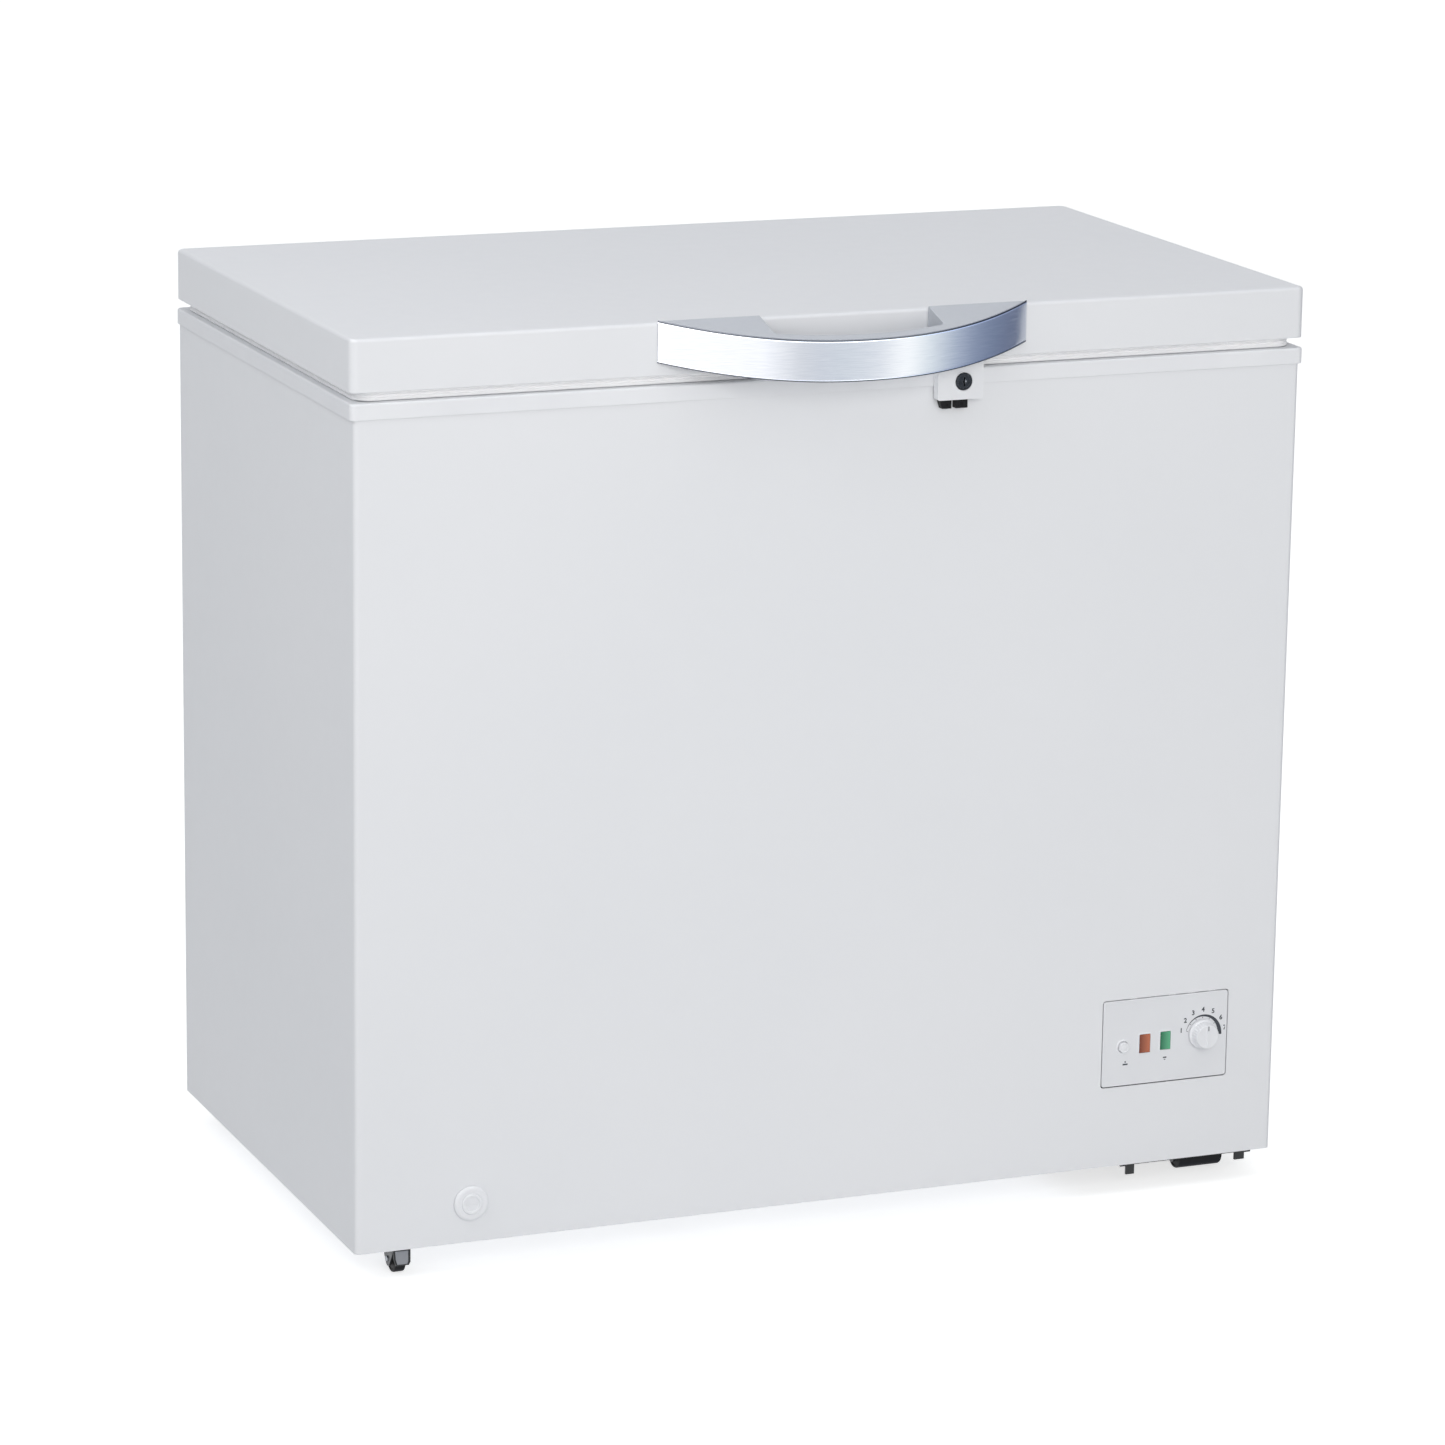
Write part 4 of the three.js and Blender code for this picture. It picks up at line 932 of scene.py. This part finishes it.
def plate(d, y, r=2.5):
    return to_xz(rring(QX0 + d, QX1 - d, QZ0 + d, QZ1 - d, max(r - d * 0.5, 0.8), y, 6))


rings = [plate(0.6, QY1), plate(0.0, QY1), plate(0.0, QY0 + 0.55), plate(0.16, QY0 + 0.16), plate(0.55, QY0), plate(1.5, QY0), plate(1.8, QY0 + 0.12), plate(2.1, QY0 + 0.3)]
cp = loft("panel_plate", rings)
FACE = QY0 + 0.3
cutters = [prism("c1", corner_box(318.2, 329.8, 139.1, 157.7, 0.8, 3), -270, -250, "XZ"), prism("c2", corner_box(340.1, 351.1, 140.1, 158.2, 0.8, 3), -270, -250, "XZ"),
           rod("c3", "Y", (BX, BZ), -270, -250, 5.6, 40), rod("c4", "Y", (KX, KZ), -270, -250, 3.6, 32)]
boolean(cp, cutters)
piece(cp, "cabinet", M_PANEL, ["control_panel"], bevel=0.12, seg=2, angle=60)


def frame_ring(name, outline_at, ys):
    """A raised frame: outline_at(d) is the outline grown by d."""
    rs = []
    for d, y in ys:
        rs.append(to_xz([(x, z, y) for x, z, _ in outline_at(d)]))
    return loft(name, rs, loop=True)


def window_frame(name, x0, x1, z0, z1):
    return frame_ring(name, lambda d: rring(x0 - d, x1 + d, z0 - d, z1 + d, 0.8 + d, 0, 4),
                      [(0.0, FACE + 0.1), (0.0, FACE - 0.45), (0.15, FACE - 0.55), (0.9, FACE - 0.55), (1.15, FACE - 0.4), (1.3, FACE + 0.1)])


piece(window_frame("window_frame_orange", 318.2, 329.8, 139.1, 157.7), "cabinet", M_PLASTIC, smooth=50)
piece(window_frame("window_frame_green", 340.1, 351.1, 140.1, 158.2), "cabinet", M_PLASTIC, smooth=50)


def lens_piece(name, node, mat):
    x0, x1, y0, y1, z0, z1 = cad(node)
    # shallow ribbed face: three cushions one above another
    nz, nx = 30, 8
    verts, faces = [], []
    for i in range(nz + 1):
        for j in range(nx + 1):
            u, v = j / nx, i / nz
            e = min(u, 1 - u, 1.0) * (x1 - x0)
            g = min(v, 1 - v) * (z1 - z0)
            edge = min(1.0, min(e, g) / 0.8)
            lift = 0.25 * math.sin(math.pi * edge / 2) + 0.06 * abs(math.sin(math.pi * 3 * v)) * edge
            verts.append((x0 + (x1 - x0) * u, y0 + 0.4 - lift, z0 + (z1 - z0) * v))
    for i in range(nz):
        for j in range(nx):
            a = i * (nx + 1) + j
            faces.append((a, a + 1, a + nx + 2, a + nx + 1))
    rim_ids = [j for j in range(nx)] + [i * (nx + 1) + nx for i in range(nz)] + [nz * (nx + 1) + nx - j for j in range(nx)] + [(nz - i) * (nx + 1) for i in range(nz)]
    back = len(verts)
    for k in rim_ids:
        x, y, z = verts[k]
        verts.append((x, y1, z))
    m = len(rim_ids)
    for k in range(m):
        faces.append((rim_ids[k], rim_ids[(k + 1) % m], back + (k + 1) % m, back + k))
    faces.append(tuple(back + k for k in range(m)))
    return piece(build(name, verts, faces), "cabinet", mat, [node], smooth=50)


lens_piece("orange_window", "orange_lens", M_ORANGE)
lens_piece("green_window", "green_lens", M_GREEN)
carry("thermostat_body", M_ZINC, 0.8, 2)


# printed scale: a wedge that widens clockwise over the knob, ticks, numbers and small marks
def polar(r, deg):
    a = math.radians(deg)
    return KX + r * math.cos(a), KZ + r * math.sin(a)


def ink(parts):
    """Thin prints, 0.06 mm proud of the panel's face."""
    out = []
    for outline in parts:
        n = len(outline)
        v = [(x, FACE - 0.06, z) for x, z in outline] + [(x, FACE + 0.05, z) for x, z in outline]
        f = [tuple(range(n)), tuple(range(2 * n - 1, n - 1, -1))] + [(j, (j + 1) % n, n + (j + 1) % n, n + j) for j in range(n)]
        out.append((v, f))
    return out


A0, A1 = 168.0, -8.0
N = 36
wedge_o, wedge_i = [], []
for i in range(N + 1):
    t = i / N
    a = A0 + (A1 - A0) * t
    wedge_i.append(polar(16.6, a))
    wedge_o.append(polar(16.9 + 4.2 * t ** 1.3, a))
outlines = [wedge_o + wedge_i[::-1]]
for k in range(7):
    a = A0 + (8.0 - A0) * k / 6
    u = (math.cos(math.radians(a)), math.sin(math.radians(a)))
    p, q = polar(15.0, a), polar(16.2, a)
    w = 0.28
    outlines.append([(p[0] - u[1] * w, p[1] + u[0] * w), (q[0] - u[1] * w, q[1] + u[0] * w), (q[0] + u[1] * w, q[1] - u[0] * w), (p[0] + u[1] * w, p[1] - u[0] * w)])


def bar(x, z, w, h):
    return [(x - w / 2, z - h / 2), (x + w / 2, z - h / 2), (x + w / 2, z + h / 2), (x - w / 2, z + h / 2)]


# small generic marks under the button and the two windows
outlines += [bar(BX + 2.6, 129.6, 5.2, 1.5), bar(BX + 2.6, 132.0, 1.3, 1.6), bar(345.6, 132.4, 3.6, 1.3), bar(345.6, 130.4, 1.6, 0.9)]
piece(merged("panel_scale_print", ink(outlines)), "cabinet", M_MARK, smooth=30)

for k in range(1, 8):
    cu = bpy.data.curves.new("digit", "FONT")
    cu.body = str(k)
    cu.size = 6.4 * MM
    cu.offset = 0.2 * MM
    cu.align_x, cu.align_y = "CENTER", "CENTER"
    cu.extrude = 0.05 * MM
    cu.resolution_u = 4
    tmp = bpy.data.objects.new("digit", cu)
    scene.collection.objects.link(tmp)
    bpy.context.view_layer.update()
    me = bpy.data.meshes.new_from_object(tmp.evaluated_get(bpy.context.evaluated_depsgraph_get()))
    bpy.data.objects.remove(tmp)
    bpy.data.curves.remove(cu)
    a = A0 + (8.0 - A0) * (k - 1) / 6
    x, z = polar(22.3 + 2.2 * (k - 1) / 6, a)
    me.transform(Matrix.Translation(W((x, FACE - 0.01, z))) @ Matrix.Rotation(math.radians(90), 4, "X"))
    me.name = "scale_number_%d" % k
    ob = bpy.data.objects.new("scale_number_%d" % k, me)
    scene.collection.objects.link(ob)
    piece(ob, "cabinet", M_MARK, smooth=30)


# thermostat knob: a skirt, a fluted grip and a pointer ridge
def flutes(i, a):
    if 4 <= i <= 8:
        return 1.0 - 0.028 * (0.5 + 0.5 * math.cos(30 * a))
    return 1.0


kn = lathe("knob", [(0, 0), (13.7, 0), (14.2, 0.5), (14.2, 2.5), (13.2, 3.1), (12.75, 3.6), (12.6, 4.4), (12.1, 10.8), (11.9, 11.8), (11.3, 12.7), (10.4, 13.0), (9.6, 12.95), (9.0, 12.6), (0, 12.6)],
           (KX, -262.3, KZ), "-Y", 180, flutes)
ridge = prism("ridge", corner_box(KX - 1.1, KX + 1.1, KZ - 10.4, KZ + 11.5, 1.05, 5), -276.1, -274.6, "XZ")
shaft = rod("shaft", "Y", (KX, KZ), -263.7, -249.0, 3.0, 24)
boolean(kn, [shaft], "UNION")
kn.name = "thermostat_knob_body"
piece(kn, "knob", M_PLASTIC, ["thermostat_knob"], smooth=35)
ridge.name = "knob_pointer_ridge"
piece(ridge, "knob", M_PLASTIC, bevel=0.35, seg=2, angle=40)
line = prism("knob_pointer_line", corner_box(KX - 0.45, KX + 0.45, KZ + 6.0, KZ + 10.8, 0.4, 3), -276.14, -276.0, "XZ")
piece(line, "knob", M_MARK, smooth=30)

# push button with a domed face
piece(lathe("push_button", [(0, -3.6), (5.0, -3.6), (5.2, -3.4), (5.2, 3.6), (5.0, 4.1), (4.5, 4.45), (3.9, 4.5), (3.5, 4.2), (3.2, 4.15), (2.6, 4.35), (1.4, 4.55), (0, 4.6)], (BX, -260.7, BZ), "-Y", 40),
      "button", M_PLASTIC, ["fast_freeze_button"], smooth=40)
bez = []
for r, y in ((5.7, FACE + 0.1), (5.7, FACE - 0.6), (5.9, FACE - 0.8), (6.9, FACE - 0.8), (7.2, FACE - 0.55), (7.4, FACE + 0.1)):
    bez.append([(BX + r * math.cos(2 * math.pi * j / 40), y, BZ + r * math.sin(2 * math.pi * j / 40)) for j in range(40)])
piece(loft("button_bezel", bez, loop=True), "cabinet", M_PLASTIC, smooth=50)

# --------------------------------------------------------------------------
# drain
# --------------------------------------------------------------------------
DX, DY, DZ = -351.5, -165.0, 66.7
dc = lathe("drain_cap_cover", [(0, 0), (16.0, 0), (16.5, 0.4), (16.5, 1.5), (16.2, 2.1), (15.2, 2.9), (14.2, 3.3), (13.4, 3.4), (10.9, 3.4), (10.3, 3.2), (10.1, 3.0), (9.9, 3.1), (9.6, 4.0), (9.2, 4.45), (8.6, 4.55),
                               (7.6, 4.55), (7.0, 4.3), (6.7, 3.6), (6.5, 3.35), (0, 3.35)], (DX, -261.05, DZ), "-Y", 64)
stem = rod("st", "Y", (DX, DZ), -261.4, -246.7, 6.7, 28)
boolean(dc, [stem], "UNION")
boolean(dc, [prism("c1", corner_box(DX - 5.0, DX + 5.0, DZ - 0.9, DZ + 0.9, 0.8, 4), -270, -263.7, "XZ")])
piece(dc, "drain_cap", M_PLASTIC, ["drain_cap"], smooth=35)
piece(tube("drain_hose", bends([(DX, DY, 91.2), (DX, DY, DZ), (DX, -260.5, DZ)], 12, 8), 9.0, 24, hole=7.2), "cabinet", M_TUBE, ["drain_tube"], smooth=50)
dp = lathe("drain_bung", [(0, 80), (6.0, 80), (6.6, 80.8), (6.4, 84), (6.6, 86), (6.4, 88), (6.6, 91.9), (12.5, 92.0), (13, 92.5), (13, 93.5), (12.3, 94.1), (7.0, 94.8), (4.6, 95.4), (4.0, 96.0), (4.0, 98.4), (3.6, 99.0), (0, 99)],
           (DX, DY, 0), "Z", 36)
piece(dp, "drain_plug", M_RUBBER, ["drain_plug"], smooth=40)

# --------------------------------------------------------------------------
# hinges
# --------------------------------------------------------------------------
HY, HZ, HR = 277.1, 812.0, 13.0
SCREWS = []
for side, hx in (("left", -270.0), ("right", 270.0)):
    ear = [(262.6, 742), (262.6, 789), (264.1, 790)] + arc(HY, HZ, HR, 180, 0, 20) + [(HY + HR, 795), (266, 742)]
    base = prism("hinge_plate_" + side, corner_box(hx - 30, hx + 30, 700, 790, 4, 4), 261.35, 263.4, "XZ")
    boolean(base, [prism("c1", ear, hx - 26, hx - 23, "YZ"), prism("c2", ear, hx + 23, hx + 26, "YZ")], "UNION")
    boolean(base, [rod("c3", "X", (HY, HZ), hx - 30, hx + 30, 4.35, 28)])
    piece(base, "cabinet", M_ZINC, ["hinge_base_" + side], bevel=0.5, seg=2, angle=40)
    pin = lathe("hinge_pivot_" + side, [(0, -28), (5.9, -28), (6.5, -27.6), (6.5, -26.4), (4.0, -26.35), (4.0, 26.35), (6.5, 26.4), (6.5, 27.6), (5.9, 28), (0, 28)], (hx, HY, HZ), "X", 32)
    piece(pin, "cabinet", M_ZINC, ["hinge_pin_" + side], smooth=40)
    coil = [(hx + 2.6 + (i / 120) * 18.2, HY + 6.6 * math.cos(i / 24 * 2 * math.pi), HZ + 6.6 * math.sin(i / 24 * 2 * math.pi)) for i in range(121)]
    piece(tube("hinge_coil_spring_" + side, coil, 1.05, 10), "cabinet", M_ZINC, ["hinge_spring_" + side], smooth=60)
    web = [(262.2, 822), (262.2, 840), (HY + 3, HZ + 8.4)] + arc(HY, HZ, 8.9, 70, -110, 16) + [(HY - 8.9, HZ + 2)]
    arm = prism("hinge_leaf_" + side, corner_box(hx - 30, hx + 30, 822, 858, 4, 4), 261.35, 263.2, "XZ")
    boolean(arm, [prism("c1", web, hx - 22, hx + 0.5, "YZ")], "UNION")
    boolean(arm, [rod("c2", "X", (HY, HZ), hx - 30, hx + 10, 4.35, 28)])
    piece(arm, "lid", M_ZINC, ["hinge_arm_" + side], bevel=0.45, seg=2, angle=40)
    SCREWS += [("cabinet", hx + dx, 263.4, z, "Y") for dx in (-16, 16) for z in (712, 734)]
    SCREWS += [("lid", hx + dx, 263.2, z, "Y") for dx in (-20, 20) for z in (849,)]

# --------------------------------------------------------------------------
# rollers
# --------------------------------------------------------------------------
def roller(tag, xc, half, y, pl, tabs, reach=19):
    r = cad("roller_wheel_" + tag)[5] / 2
    ax = half + 4.2
    piece(lathe("axle_" + tag, [(0, -ax), (2.3, -ax), (2.6, -ax + 0.3), (2.6, ax - 0.3), (2.3, ax), (0, ax)], (xc, y, 13.0), "X", 24), "cabinet", M_ZINC, ["roller_axle_" + tag], smooth=40)
    prof = [(3.0, -half), (6.0, -half), (6.4, -half + 0.5), (10.2, -half + 0.8), (10.8, -half), (11.6, -half), (12.6, -half + 0.5), (12.98, -half + 1.4)]
    prof += [(12.98, half - 1.4), (12.6, half - 0.5), (11.6, half), (10.8, half), (10.2, half - 0.8), (6.4, half - 0.5), (6.0, half), (3.0, half)]
    rs = []
    for rad, h in prof:
        rs.append([(xc + h, y + rad * math.cos(2 * math.pi * j / 64), 13.0 + rad * math.sin(2 * math.pi * j / 64)) for j in range(64)])
    piece(loft("wheel_" + tag, rs, loop=True), "wheel_" + tag, M_BLACK, ["roller_wheel_" + tag], smooth=40)
    cheek = [(y - 16, 27.4), (y - 16, 24)] + arc(y, 12.2, 6.2, 222, 318, 8) + [(y + 16, 24), (y + 16, 27.4)]
    br = prism("bracket_" + tag, corner_box(pl[0], pl[1], y - reach, y + 19, 2.5, 4), 27.2, 29.0, "XY")
    boolean(br, [prism("c1", cheek, xc - half - 3.0, xc - half - 0.8, "YZ"), prism("c2", cheek, xc + half + 0.8, xc + half + 3.0, "YZ")] + [block("t%d" % i, *t) for i, t in enumerate(tabs)], "UNION")
    boolean(br, [rod("c3", "X", (y, 13.0), xc - half - 5, xc + half + 5, 2.9, 24)])
    if half < 10:      # a folded front closes the narrow bracket, with a bare web on it
        w = half + 2.9
        web = prism("web", [(xc - w + 1.6, 24.6), (xc - w + 2.2, 17.0), (xc - w + 3.8, 11.6), (xc + w - 3.4, 11.6), (xc + w - 2.4, 14.0), (xc + w - 2.4, 24.6)], y - 17.0, y - 16.1, "XZ")
        boolean(br, [prism("f", [(xc - w, 27.4), (xc - w + 0.5, 17.0), (xc - w + 2.6, 10.2), (xc + w - 1.6, 10.2), (xc + w, 13.0), (xc + w, 27.4)], y - 16.2, y - 15.2, "XZ")], "UNION")
        web.name = "bracket_web_" + tag
        piece(web, "cabinet", M_WEB, bevel=0.3, seg=2, angle=40)
    piece(br, "cabinet", M_BPAINT, ["roller_bracket_" + tag], bevel=0.3, seg=2, angle=40)


roller("front_left", -413.5, 5.4, -233, (-427.5, -399.5), [])
roller("rear_left", -413.5, 5.4, 233, (-427.5, -399.5), [])
roller("front_right", 411, 23, -204, (312, 455), [(328, 446, -238, -236, 20.4, 27.4), (314, 321, -238, -236, 19.5, 27.4), (320, 329, -238, -236, 11, 27.4),
                                                  (436, 446.5, -238, -236, 13, 27.4), (446, 453, -238, -236, 19.5, 27.4)], 34)
roller("rear_right", 411, 23, 205, (312, 455), [])

# --------------------------------------------------------------------------
# storage basket: coated wire hung on the rim
# --------------------------------------------------------------------------
bx0, bx1, by0, by1, bz0, bz1 = 168.6, 393.4, -192.6, 192.6, 601.7, 788.0
parts = []
for zz, rad in ((bz1, 2.4), (735, 1.6), (682, 1.6), (634, 1.6)):
    ringp = [(x, y, zz) for x, y, _ in rring(bx0, bx1, by0, by1, 15, 0, 6)]
    parts.append(tube_data(ringp, rad, 10, closed=True))
nx = 11
for i in range(nx):
    x = bx0 + 17 + (bx1 - bx0 - 34) * i / (nx - 1)
    parts.append(tube_data(bends([(x, by0 + 0.2, bz1), (x, by0 + 0.2, bz0 + 0.2), (x, by1 - 0.2, bz0 + 0.2), (x, by1 - 0.2, bz1)], 12, 5), 1.5, 8))
ny = 15
for i in range(ny):
    y = by0 + 17 + (by1 - by0 - 34) * i / (ny - 1)
    parts.append(tube_data(bends([(bx0 + 0.2, y, bz1), (bx0 + 0.2, y, bz0 + 1.0), (bx1 - 0.2, y, bz0 + 1.0), (bx1 - 0.2, y, bz1)], 12, 5), 1.5, 8))
for s in (-1, 1):
    yy = s * 193.3
    yo = s * 219.6
    hang = [(180, yy, bz1), (180, yy, 810.0), (180, yo, 810.0), (382, yo, 810.0), (382, yy, 810.0), (382, yy, bz1)]
    parts.append(tube_data(bends(hang, 5, 5), 1.45, 10))
bk = merged("wire_basket", parts)
piece(bk, "basket", M_WIRE, ["storage_basket"], smooth=60)
for i, (s, xc) in enumerate(((-1, 281), (1, 281))):
    gripper = prism("basket_grip_%s" % ("front" if s < 0 else "rear"), corner_box(xc - 34, xc + 34, 780.5, 795.5, 5, 5), s * 190.2, s * 194.9, "XZ")
    piece(gripper, "basket", M_PLASTIC, bevel=1.2, seg=3, angle=40)

# --------------------------------------------------------------------------
# screws: small pan heads with a cross slot
# --------------------------------------------------------------------------
SCREWS += [("cabinet", x, 263.1, z, "Y") for x in (268, 360, 452) for z in (46, 248)]
SCREWS += [("cabinet", x, 261.0, z, "Y") for x in (-452, -226, 0, 226) for z in (36, 798)]
SCREWS += [("cabinet", 464.4, y, z, "X") for y in (-154, 154) for z in (76, 224)]
by_body = {}
for body, x, y, z, ax in SCREWS:
    c = (x, y, z)
    h = lathe("h", [(0, -0.6), (3.6, -0.6), (3.6, 0.25), (3.35, 0.9), (2.6, 1.45), (1.2, 1.75), (0, 1.8)], (0, 0, 0), "Z", 20)
    cross = [block("x1", -2.0, 2.0, -0.35, 0.35, 1.0, 3.0), block("x2", -0.35, 0.35, -2.0, 2.0, 1.0, 3.0)]
    boolean(h, cross)
    spin = Matrix.Rotation(math.radians((x * 7 + z * 13) % 90), 4, "Z")
    h.data.transform(Matrix.Translation((0, -OY * MM, 0)))
    rot = Matrix.Rotation(math.radians(-90), 4, "X") if ax == "Y" else Matrix.Rotation(math.radians(90), 4, "Y")
    if ax == "X":
        h.data.transform(Matrix.Diagonal((1, 1, 0.25, 1)))
    h.data.transform(Matrix.Translation(W(c)) @ rot @ spin)
    by_body.setdefault(body, []).append(h)
for body, hs in by_body.items():
    piece(join_objects("screws_" + body, hs), body, M_ZINC, smooth=40)

# --------------------------------------------------------------------------
# floor, light, camera
# --------------------------------------------------------------------------
def floor_plane():
    bm = bmesh.new()
    bmesh.ops.create_grid(bm, x_segments=8, y_segments=8, size=40)
    me = bpy.data.meshes.new("studio_floor")
    bm.to_mesh(me)
    bm.free()
    ob = bpy.data.objects.new("studio_floor", me)
    scene.collection.objects.link(ob)
    ob.location = (0, 0, -0.0002)
    m = bpy.data.materials.new("pale_floor")
    m.use_nodes = True
    t = m.node_tree
    b = t.nodes["Principled BSDF"]
    b.inputs["Base Color"].default_value = (0.76, 0.77, 0.775, 1)
    b.inputs["Roughness"].default_value = 0.9
    b.inputs["Specular IOR Level"].default_value = 0.1
    lp_ = t.nodes.new("ShaderNodeLightPath")
    em = t.nodes.new("ShaderNodeEmission")
    em.inputs["Color"].default_value = (1, 1, 1, 1)
    mul = t.nodes.new("ShaderNodeMath")
    mul.operation = "MULTIPLY"
    mul.inputs[1].default_value = FLOOR_LIFT
    t.links.new(lp_.outputs["Is Camera Ray"], mul.inputs[0])
    t.links.new(mul.outputs[0], em.inputs["Strength"])
    add = t.nodes.new("ShaderNodeAddShader")
    t.links.new(b.outputs[0], add.inputs[0])
    t.links.new(em.outputs[0], add.inputs[1])
    t.links.new(add.outputs[0], t.nodes["Material Output"].inputs["Surface"])
    me.materials.append(m)
    ob.visible_glossy = False


FLOOR_LIFT = 0.66
floor_plane()

world = bpy.data.worlds.new("studio")
scene.world = world
world.use_nodes = True
t = world.node_tree
nodes, links = t.nodes, t.links
nodes.clear()
out = nodes.new("ShaderNodeOutputWorld")
lpw = nodes.new("ShaderNodeLightPath")
tc = nodes.new("ShaderNodeTexCoord")
sep = nodes.new("ShaderNodeSeparateXYZ")
links.new(tc.outputs["Generated"], sep.inputs[0])
neg = nodes.new("ShaderNodeMath")
neg.operation = "MULTIPLY"
neg.inputs[1].default_value = -1.0
links.new(sep.outputs["Y"], neg.inputs[0])
at = nodes.new("ShaderNodeMath")
at.operation = "ARCTAN2"
links.new(sep.outputs["X"], at.inputs[0])
links.new(neg.outputs[0], at.inputs[1])
mr = nodes.new("ShaderNodeMapRange")
mr.inputs["From Min"].default_value, mr.inputs["From Max"].default_value = -math.pi, math.pi
links.new(at.outputs[0], mr.inputs["Value"])
ramp = nodes.new("ShaderNodeValToRGB")
links.new(mr.outputs["Result"], ramp.inputs["Fac"])
# what bright metal mirrors, by compass angle from the front: a white room, with a dark blue-grey side at the right
stops = [(-180, (0.50, 0.51, 0.53)), (-120, (0.70, 0.71, 0.73)), (-70, (0.96, 0.96, 0.965)), (-45, (0.80, 0.80, 0.805)), (-25, (0.775, 0.775, 0.78)), (-14, (0.76, 0.762, 0.77)), (0.5, (0.495, 0.508, 0.53)), (8, (0.475, 0.495, 0.53)),
         (17, (0.475, 0.505, 0.535)), (25, (0.53, 0.55, 0.58)), (36, (0.77, 0.775, 0.765)), (46, (0.539, 0.579, 0.60)), (59, (0.28, 0.32, 0.40)), (68, (0.175, 0.21, 0.29)), (77, (0.129, 0.159, 0.233)),
         (88, (0.10, 0.12, 0.18)), (100, (0.105, 0.12, 0.17)), (110, (0.12, 0.13, 0.175)), (122, (0.18, 0.18, 0.22)), (140, (0.45, 0.46, 0.48)), (180, (0.50, 0.51, 0.53))]
el = ramp.color_ramp.elements
while len(el) > 1:
    el.remove(el[-1])
for i, (deg, c) in enumerate(stops):
    p = (deg + 180) / 360
    e = el[0] if i == 0 else el.new(p)
    e.position = p
    e.color = (*c, 1)
bg_cam = nodes.new("ShaderNodeBackground")
bg_cam.inputs["Color"].default_value = (1, 1, 1, 1)
bg_cam.inputs["Strength"].default_value = 1.05
bg_gl = nodes.new("ShaderNodeBackground")
links.new(ramp.outputs["Color"], bg_gl.inputs["Color"])
# an overhead strip light: a high zone brighter than the rest, seen along rounded edges
high = nodes.new("ShaderNodeMapRange")
high.inputs["From Min"].default_value, high.inputs["From Max"].default_value = 0.5, 0.68
high.inputs["To Min"].default_value, high.inputs["To Max"].default_value = 1.6, 5.0
links.new(sep.outputs["Z"], high.inputs["Value"])
links.new(high.outputs["Result"], bg_gl.inputs["Strength"])
bg_df = nodes.new("ShaderNodeBackground")
bg_df.inputs["Color"].default_value = (0.97, 0.985, 1.0, 1)
WORLD_DIFFUSE = 0.50
bg_df.inputs["Strength"].default_value = WORLD_DIFFUSE
m1 = nodes.new("ShaderNodeMixShader")
links.new(lpw.outputs["Is Glossy Ray"], m1.inputs[0])
links.new(bg_df.outputs[0], m1.inputs[1])
links.new(bg_gl.outputs[0], m1.inputs[2])
m2 = nodes.new("ShaderNodeMixShader")
links.new(lpw.outputs["Is Camera Ray"], m2.inputs[0])
links.new(m1.outputs[0], m2.inputs[1])
links.new(bg_cam.outputs[0], m2.inputs[2])
links.new(m2.outputs[0], out.inputs["Surface"])


def area(name, loc, aim, size, power, colour=(1, 1, 1), size_y=None, glossy=True):
    li = bpy.data.lights.new(name, "AREA")
    li.shape = "RECTANGLE" if size_y else "SQUARE"
    li.size = size
    if size_y:
        li.size_y = size_y
    li.energy = power
    li.color = colour
    ob = bpy.data.objects.new(name, li)
    ob.location = loc
    ob.rotation_euler = (Vector(aim) - Vector(loc)).to_track_quat("-Z", "Y").to_euler()
    ob.visible_glossy = glossy
    ob.visible_camera = False
    scene.collection.objects.link(ob)
    return ob


area("key_light", (-0.32, -3.5, 1.50), (-0.12, -0.26, 0.62), 1.3, 44, (1.0, 0.985, 0.965), size_y=2.2, glossy=False)
area("top_light", (-0.25, -0.9, 4.2), (-0.1, -0.1, 0.6), 2.4, 11, (0.975, 0.985, 1.0), glossy=False)
area("left_fill", (-1.7, -0.7, 1.95), (-0.46, 0.0, 0.74), 0.9, 7.5, (0.975, 0.985, 1.0), glossy=False)

cam_data = bpy.data.cameras.new("camera")
cam_data.sensor_width = 36.0
cam_data.lens = 141.21
cam_data.clip_start, cam_data.clip_end = 0.1, 200
cam = bpy.data.objects.new("camera", cam_data)
yaw, pitch, roll = math.radians(22.233), math.radians(13.862), math.radians(0.8)
fwd = Vector((math.sin(yaw) * math.cos(pitch), math.cos(yaw) * math.cos(pitch), -math.sin(pitch)))
right = Vector((math.cos(yaw), -math.sin(yaw), 0))
up = right.cross(fwd)
r2 = right * math.cos(roll) + up * math.sin(roll)
u2 = -right * math.sin(roll) + up * math.cos(roll)
rot = Matrix((r2, u2, -fwd)).transposed().to_4x4()
cam.matrix_world = Matrix.Translation((-1.9928, -4.8474, 1.7226)) @ rot
scene.collection.objects.link(cam)
scene.camera = cam
scene.view_settings.view_transform = "Standard"
scene.view_settings.look = "None"
scene.view_settings.exposure = 0.0
scene.view_settings.gamma = 1.0
